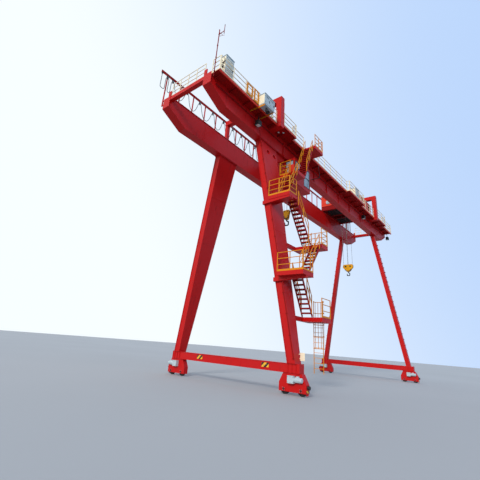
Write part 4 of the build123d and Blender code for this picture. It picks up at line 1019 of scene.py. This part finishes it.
def dress_main_trolley():
    """Dark slats under the deck, ribs, louvred hatches and the round motor on the machinery house."""
    body = "main_trolley"
    slats = [(x, y, 17.7) for y in spread(-1.44, 1.44, 20) for x in (18.2, 21.0)]
    repeat("main_underframe_slats", BARS, slats, CAST, body, size=(2.1, 0.075, 0.05))
    ties = [(x, 0, 17.76) for x in spread(17.4, 21.9, 9) if abs(x - HOISTS["main"].x) > 0.35]
    repeat("main_underframe_ties", BARS, ties, CAST, body, size=(0.09, 3.06, 0.07))
    bm, grey, dark = bmesh.new(), bmesh.new(), bmesh.new()
    (x0, x1), (y0, y1), (low, high) = HOUSE_X, HOUSE_Y, HOUSE_RIBS
    for y in (-1.55, -0.6, 0.35):
        for x in (x0 - 0.035, x1):
            block(bm, (x, y - 0.02, low), (x + 0.035, y + 0.02, high), 0.006)
    for x in spread(17.3, 21.9, 6):
        for y in (y0 - 0.035, y1):
            block(bm, (x - 0.02, y, low), (x + 0.02, y + 0.035, high), 0.006)
        block(bm, (x - 0.02, y0, HOUSE_TOP), (x + 0.02, y1, HOUSE_TOP + 0.025), 0.005)
    block(bm, (x0 - 0.04, y0 - 0.04, low - 0.07), (x1 + 0.04, y0, low), 0.006)
    block(bm, (x0 - 0.04, y0, low - 0.07), (x0, y1, low), 0.006)
    # the house's ribs in the painted sunlit red too
    piece("main_house_ribs", bm, SUNLIT_RED, body)
    motor = (1.035, 18.6)
    lathe(grey, (x0, *motor), (16.88, *motor),
          ((0, 0.26), (0.1, 0.26), (0.2, 0.22), (0.8, 0.22), (1, 0.15)), 28)
    lathe(grey, (16.88, *motor), (16.84, *motor), ((0, 0.09), (0.5, 0.08), (1, 0.04)), 20)
    for x in HATCHES:
        block(grey, (x, y0 - 0.025, 18.5), (x + 0.6, y0 + 0.002, 19.2), 0.008)
    piece("main_house_motor_and_hatches", grey, GREY, body)
    louvres = [(x + 0.3, y0 - 0.032, z) for x, z in product(HATCHES, spread(18.58, 19.12, 9))]
    repeat("main_house_louvres", BARS, louvres, GREY, body, size=(0.5, 0.02, 0.025))
    for x, s in product((17.352, 21.848), SIDES):
        cover(dark, (x, s * 1.85, 17.8), (x, s * 1.88, 17.8), 0.12, 0.1)
    piece("main_axle_covers", dark, CAST, body)


def dress_aux_trolley():
    """Guard rail, axle covers and electrical box of the open crab."""
    body, deck = "aux_trolley", HOISTS["aux"].deck
    bm, dark = bmesh.new(), bmesh.new()
    (x0, x1), (y0, y1) = AUX_RAIL_X, AUX_RAIL_Y
    middle = HOISTS["aux"].x
    for x, y in (*product(AUX_RAIL_X, (y0, 0, y1)), (middle, y0), (middle, y1)):
        plate(bm, (x, y, deck + 0.475), (0.04, 0.04, 0.95), 0.005)
    for z in (deck + 0.5, deck + 0.93):
        for x in AUX_RAIL_X:
            rod(bm, (x, y0, z), (x, y1, z), 0.018)
        for y in AUX_RAIL_Y:
            rod(bm, (x0, y, z), (x1, y, z), 0.018)
    piece("aux_guard_rail", bm, CREAM, body)
    for x, s in product((5.206, 7.194), SIDES):
        cover(dark, (x, s * 1.82, 17.74), (x, s * 1.85, 17.74), 0.1, 0.08)
    piece("aux_axle_covers", dark, CAST, body)
    bm = bmesh.new()
    block(bm, (6.85, -1.35, deck), (7.2, -0.75, deck + 0.7), 0.015)
    block(bm, (6.83, -1.3, deck + 0.05), (6.85, -0.8, deck + 0.65), 0.006)
    piece("aux_control_box", bm, GREY, body)


def dress_hoists():
    """Rope turns on the drums, pedestal bolts and motor fins of both hoists."""
    for name, h in HOISTS.items():
        body, end, wide = name + "_trolley", h.drum_half - 0.08, h.centre + h.sheave
        count = int(h.drum_half / h.rope * 0.55)
        turns = [(x, s * h.centre, h.drum_z) for s, x in product(SIDES, spread(h.x - end, h.x + end, count))]
        repeat(name + "_drum_rope", TURNS, turns, ROPE, body, turn_radius=h.sheave + h.rope * 0.4,
               rope_radius=h.rope * 0.9)
        bolts = [((h.x + s * (h.drum_half + 0.1) + dx, y, h.deck), UP)
                 for s, dx, y in product(SIDES, (-0.09, 0.09), spread(-wide * 0.85, wide * 0.85, 4))]
        bolt_up(name + "_pedestal_bolts", bolts, ZINC, 0.05, 0.06, body)
        x, y, z = h.x - 0.16 - h.drum_half * 0.4, wide + h.sheave * 0.8, h.drum_z - h.sheave * 0.3
        reach = h.sheave * 0.52
        fins = [(x, y + reach * cos(a), z + reach * sin(a)) for a in angles(12)]
        repeat(name + "_motor_fins", BARS, fins, GREY, body, size=(h.drum_half * 1.1, 0.012, 0.012))


def dress_hook_blocks():
    """Pin caps, cheek bolts, guards and painted shade of both hook blocks: dark strips along the cheeks'
    lower edges and a dark band round the foot.
    """
    for name, h in HOISTS.items():
        body, r = name + "_hook_block", h.sheave
        half, wide, foot = h.hook * 0.4, h.centre + r + 5 * h.rope, h.hook * 0.55
        low = h.pin - h.drop
        edge = half + h.rope * 0.7
        # the cheeks widen from their foot up to where they are full width
        high, full = low + h.drop * 0.45, h.pin - r * 0.6
        out = foot + (wide - foot) * (high - low) / (full - low)
        caps, bands, bolts = bmesh.new(), bmesh.new(), []
        for t in SIDES:
            face, x = (t, 0, 0), h.x + t * edge
            for s in SIDES:
                y, z = s * h.centre, h.pin
                cover(caps, (x, y, z), (x + t * 0.03, y, z), r * 0.42, r * 0.3, 0.5)
                # dark strip along the cheek's lower edge: painted shade of the downward face
                strut(bands, (x, s * foot, low + 0.03), (x, s * (out - 0.02), high), 0.012, 0.07)
                bolts += [((x + t * 0.008, s * wide * 0.86, h.pin + r * k), face) for k in (-0.4, 0.4)]
                bolts.append(((x + t * 0.012, s * (foot + (wide - foot) * 0.4 - 0.03),
                               low + (full - low) * 0.4), face))
            z = low + foot * 0.5
            cover(caps, (x, 0, z), (x + t * 0.025, 0, z), foot * 0.6, foot * 0.4, 0.5)
        # dark band round the block's foot: painted shade under the block
        band, side = half + h.rope * 0.5, foot * 0.98
        block(bands, (h.x - band, -side, low + 0.004), (h.x + band, side, low + foot * 0.7), 0.008)
        for s in SIDES:
            block(bands, (h.x - half, s * wide - 0.012, h.pin - r * 0.5),
                  (h.x + half, s * wide + 0.012, h.pin + r * 0.45), 0.004)
        piece(name + "_block_pin_caps", caps, CAST, body)
        piece(name + "_block_bands", bands, CAST, body)
        bolt_up(name + "_block_bolts", bolts, ZINC, h.hook * 0.16, 0.02, body)


def dress_ropes():
    """Four falls on each hoist, stretched from drums to hook block, and the turn round each sheave."""
    for name, h in HOISTS.items():
        bm = bmesh.new()
        for y in (-h.outer, -h.inner, h.inner, h.outer):
            lathe(bm, (h.x, y, h.drum_z), (h.x, y, h.pin), [(k, h.rope) for k in spread(0, 1, 9)], 8)
        falls = mesh_object(name + "_falls", bm, ROPE, smooth=True)
        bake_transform(falls)
        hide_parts(name + "_ropes")
        bm, reach = bmesh.new(), h.sheave + h.rope * 1.02
        for s in SIDES:
            way = [(h.x, s * h.centre + reach * cos(a), h.pin - reach * sin(a)) for a in spread(0, pi, 15)]
            for a, b in zip(way, way[1:]):
                lathe(bm, a, b, ((0, h.rope), (1, h.rope)), 8)
        piece(name + "_sheave_rope", bm, ROPE, name + "_hook_block", smooth=True)


# stage
def make_stage():
    """Pale floor, pale sky and soft light from the near end."""
    bm = bmesh.new()
    bmesh.ops.create_grid(bm, x_segments=1, y_segments=1, size=260.0)
    mesh = bpy.data.meshes.new("floor")
    bm.to_mesh(mesh)
    bm.free()
    material, tree, shader, place = blank("pale_floor")
    speckle = patches(tree, place, 0.05, 0.3, 0.7)
    tone = put(tree, "ShaderNodeMix", {0: speckle, 6: "#9C9EA0", 7: "#A1A3A5"}, data_type="RGBA")
    feed(tree, shader, {"Base Color": tone, "Roughness": 0.9})
    mesh.materials.append(material)
    floor = into_scene("floor", mesh)
    floor.location.z = -0.002
    make_sky()
    lamp = bpy.data.lights.new("key_light", "SUN")
    lamp.energy = 2.3
    lamp.angle = radians(14)
    lamp.color = (1.0, 0.96, 0.92)
    into_scene("key_light", lamp).rotation_euler = (radians(62), 0, radians(-72))


def make_sky():
    """Pale sky, near white on the festoon side and faint blue beyond the walkway."""
    world = bpy.data.worlds.new("pale_sky")
    world.use_nodes = True
    tree = world.node_tree
    direction = put(tree, "ShaderNodeTexCoord").outputs["Generated"]
    side = put(tree, "ShaderNodeVectorMath", {0: direction, 1: (-0.55, 0.7, -0.35)}, operation="DOT_PRODUCT")
    haze = put(tree, "ShaderNodeMapRange", {"Value": side.outputs[1], "From Min": -0.75, "From Max": 0.25},
               interpolation_type="SMOOTHSTEP")
    tone = put(tree, "ShaderNodeMix", {0: haze, 6: "#B6D0F5", 7: "#F0F7FA"}, data_type="RGBA")
    feed(tree, tree.nodes["Background"], {"Color": tone, "Strength": 1.08})
    bpy.context.scene.world = world
    bpy.context.scene.view_settings.view_transform = "Standard"


make_camera()
make_cords()
make_stage()
paint_nodes()
dress_girders()
dress_conduits()
dress_rails()
dress_legs()
dress_near_leg()
dress_sills()
dress_bogies()
dress_cabinets()
dress_walkway()
dress_floodlights()
dress_mast()
dress_festoon()
dress_stairs()
dress_cab()
dress_main_trolley()
dress_aux_trolley()
dress_hoists()
dress_hook_blocks()
dress_ropes()
